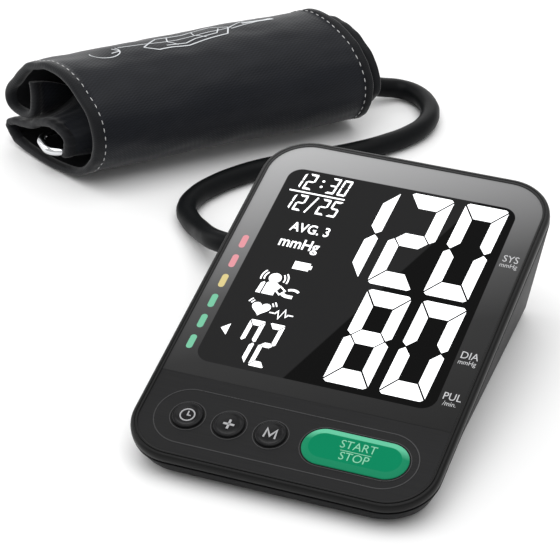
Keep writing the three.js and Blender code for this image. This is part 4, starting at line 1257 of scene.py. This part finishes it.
class MONITOR_OT_hose(bpy.types.Operator):
    """Builds the air hose with its plug and its strain relief"""
    bl_idname = "monitor.hose"
    bl_label = "Hose"

    def execute(self, context):
        _, cuff, _ = settings()
        low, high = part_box("air_plug")
        plug_back = Vector((low[0] - 0.0003, (low[1] + high[1]) / 2, (low[2] + high[2]) / 2))
        points = [UNIT @ Vector(point) for point in HOSE_ROUTE]
        points += [plug_back - Vector((0.002, 0, 0)), plug_back]
        curve = bpy.data.curves.new("air_hose_tube", "CURVE")
        curve.dimensions = "3D"
        curve.bevel_depth = cuff.hose_diameter / 2
        curve.bevel_resolution = 6
        curve.resolution_u = 6
        curve.use_fill_caps = True
        spline = curve.splines.new("BEZIER")
        spline.bezier_points.add(len(points) - 1)
        for knot, point in zip(spline.bezier_points, points):
            knot.co = point
            knot.handle_left_type = knot.handle_right_type = "AUTO"
        hose = bpy.data.objects.new("air_hose_tube", curve)
        bpy.context.scene.collection.objects.link(hose)
        curve.materials.append(LOOKS["hose"])
        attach(hose, "cuff")
        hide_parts("air_hose")
        plug, gland = self.fittings(points[0])
        return {"FINISHED"}

    def fittings(self, start):
        """The plug with its finger ribs and the flanged gland where the hose leaves the cuff."""
        low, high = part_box("air_plug")
        pin_length = 6.5
        pin_end = Vector((high[0], (low[1] + high[1]) / 2, (low[2] + high[2]) / 2))
        plug_face = pin_end - Vector((pin_length * MM, 0, 0))
        ribs = []
        for index in range(4):
            back = -8.6 + index * 1.5
            ribs += [(4.95, back), (5.25, back + 0.35), (5.25, back + 0.75), (4.95, back + 1.1)]
        profile = [(0, -11), (4.1, -11), (4.4, -10.7), (4.8, -9.4), *ribs, (5.2, -2.6), (5.6, -2.1),
                   (5.6, -0.3), (5.3, 0), (1.9, 0), (1.9, 6.2), (1.6, pin_length), (0, pin_length)]
        place = Matrix.Translation(plug_face) @ Matrix.Rotation(math.pi / 2, 4, "Y") @ Matrix.Scale(MM, 4)
        plug = finish("hose_plug", spun(profile, 48), place, LOOKS["rubber"], "cuff", ["air_plug"])
        profile = [(0, -9), (5.7, -9), (6, -8.7), (6, -7.8), (5.7, -7.5), (5.2, -6.6), (4.8, -3.5),
                   (4.5, -0.4), (4.2, 0), (0, 0)]
        along_roll = Matrix.Rotation(ROLL_TURN, 4, "Z") @ Matrix.Rotation(math.pi / 2, 4, "Y")
        into_cuff = Matrix.Translation((0, 0, -0.3))
        place = Matrix.Translation(start) @ along_roll @ Matrix.Scale(MM, 4) @ into_cuff
        gland = finish("hose_gland", spun(profile, 48), place, LOOKS["rubber"], "cuff", ["hose_grommet"])
        return plug, gland


# ---- operator: the stage ---------------------------------------------------------------------
class MONITOR_OT_stage(bpy.types.Operator):
    """Makes the materials and adds the pale table, the soft lights and the camera"""
    bl_idname = "monitor.stage"
    bl_label = "Stage"

    def execute(self, context):
        make_materials()
        _, _, stage = settings()
        scene = context.scene
        scene.view_settings.view_transform = "Standard"
        bm = bmesh.new()
        bmesh.ops.create_grid(bm, x_segments=1, y_segments=1, size=TABLE_HALF)
        mesh = bpy.data.meshes.new("table")
        bm.to_mesh(mesh)
        bm.free()
        table = bpy.data.objects.new("table", mesh)
        scene.collection.objects.link(table)
        look, _, shader = bare_material("table_white", 0.6)
        shader.inputs["Base Color"].default_value = (0.9, 0.9, 0.9, 1)
        shader.inputs["Specular IOR Level"].default_value = 0.2
        mesh.materials.append(look)
        world = bpy.data.worlds.new("studio")
        scene.world = world
        world.use_nodes = True
        world.node_tree.nodes["Background"].inputs[0].default_value = (1, 1, 1, 1)
        world.node_tree.nodes["Background"].inputs[1].default_value = SKY_STRENGTH
        for light in LIGHTS:
            self.light(*light)
        camera_data = bpy.data.cameras.new("camera")
        camera_data.sensor_width = SENSOR_WIDTH
        camera_data.lens = stage.lens
        camera = bpy.data.objects.new("camera", camera_data)
        scene.collection.objects.link(camera)
        flat = math.cos(stage.elevation)
        back = Vector((math.sin(stage.azimuth) * flat, -math.cos(stage.azimuth) * flat,
                       math.sin(stage.elevation)))
        camera.location = AIM + back * stage.distance
        camera.rotation_euler = back.to_track_quat("Z", "Y").to_euler()
        scene.camera = camera
        return {"FINISHED"}

    def light(self, name, offset, size, power):
        lamp = bpy.data.lights.new(name, "AREA")
        lamp.shape = "SQUARE"
        lamp.size = size
        lamp.energy = power
        holder = bpy.data.objects.new(name, lamp)
        bpy.context.scene.collection.objects.link(holder)
        holder.location = AIM + Vector(offset)
        holder.rotation_euler = Vector(offset).to_track_quat("Z", "Y").to_euler()


class MONITOR_PT_panel(bpy.types.Panel):
    """Lists the pieces that can be built"""
    bl_label = "Blood Pressure Monitor"
    bl_idname = "MONITOR_PT_panel"
    bl_space_type = "VIEW_3D"
    bl_region_type = "UI"
    bl_category = "Monitor"

    def draw(self, context):
        for operator in OPERATORS:
            self.layout.operator(operator.bl_idname)


OPERATORS = (MONITOR_OT_stage, MONITOR_OT_hose, MONITOR_OT_case, MONITOR_OT_face, MONITOR_OT_figures,
             MONITOR_OT_keys, MONITOR_OT_cuff)
CLASSES = (MonitorUnitSettings, MonitorCuffSettings, MonitorStageSettings, *OPERATORS, MONITOR_PT_panel)


def register():
    for kind in CLASSES:
        bpy.utils.register_class(kind)
    bpy.types.Scene.monitor_unit = bpy.props.PointerProperty(type=MonitorUnitSettings)
    bpy.types.Scene.monitor_cuff = bpy.props.PointerProperty(type=MonitorCuffSettings)
    bpy.types.Scene.monitor_stage = bpy.props.PointerProperty(type=MonitorStageSettings)


def unregister():
    for name in ("monitor_unit", "monitor_cuff", "monitor_stage"):
        delattr(bpy.types.Scene, name)
    for kind in reversed(CLASSES):
        bpy.utils.unregister_class(kind)


def main():
    register()
    for operator in OPERATORS:
        category, name = operator.bl_idname.split(".")
        getattr(getattr(bpy.ops, category), name)()


if __name__ == "__main__":
    main()
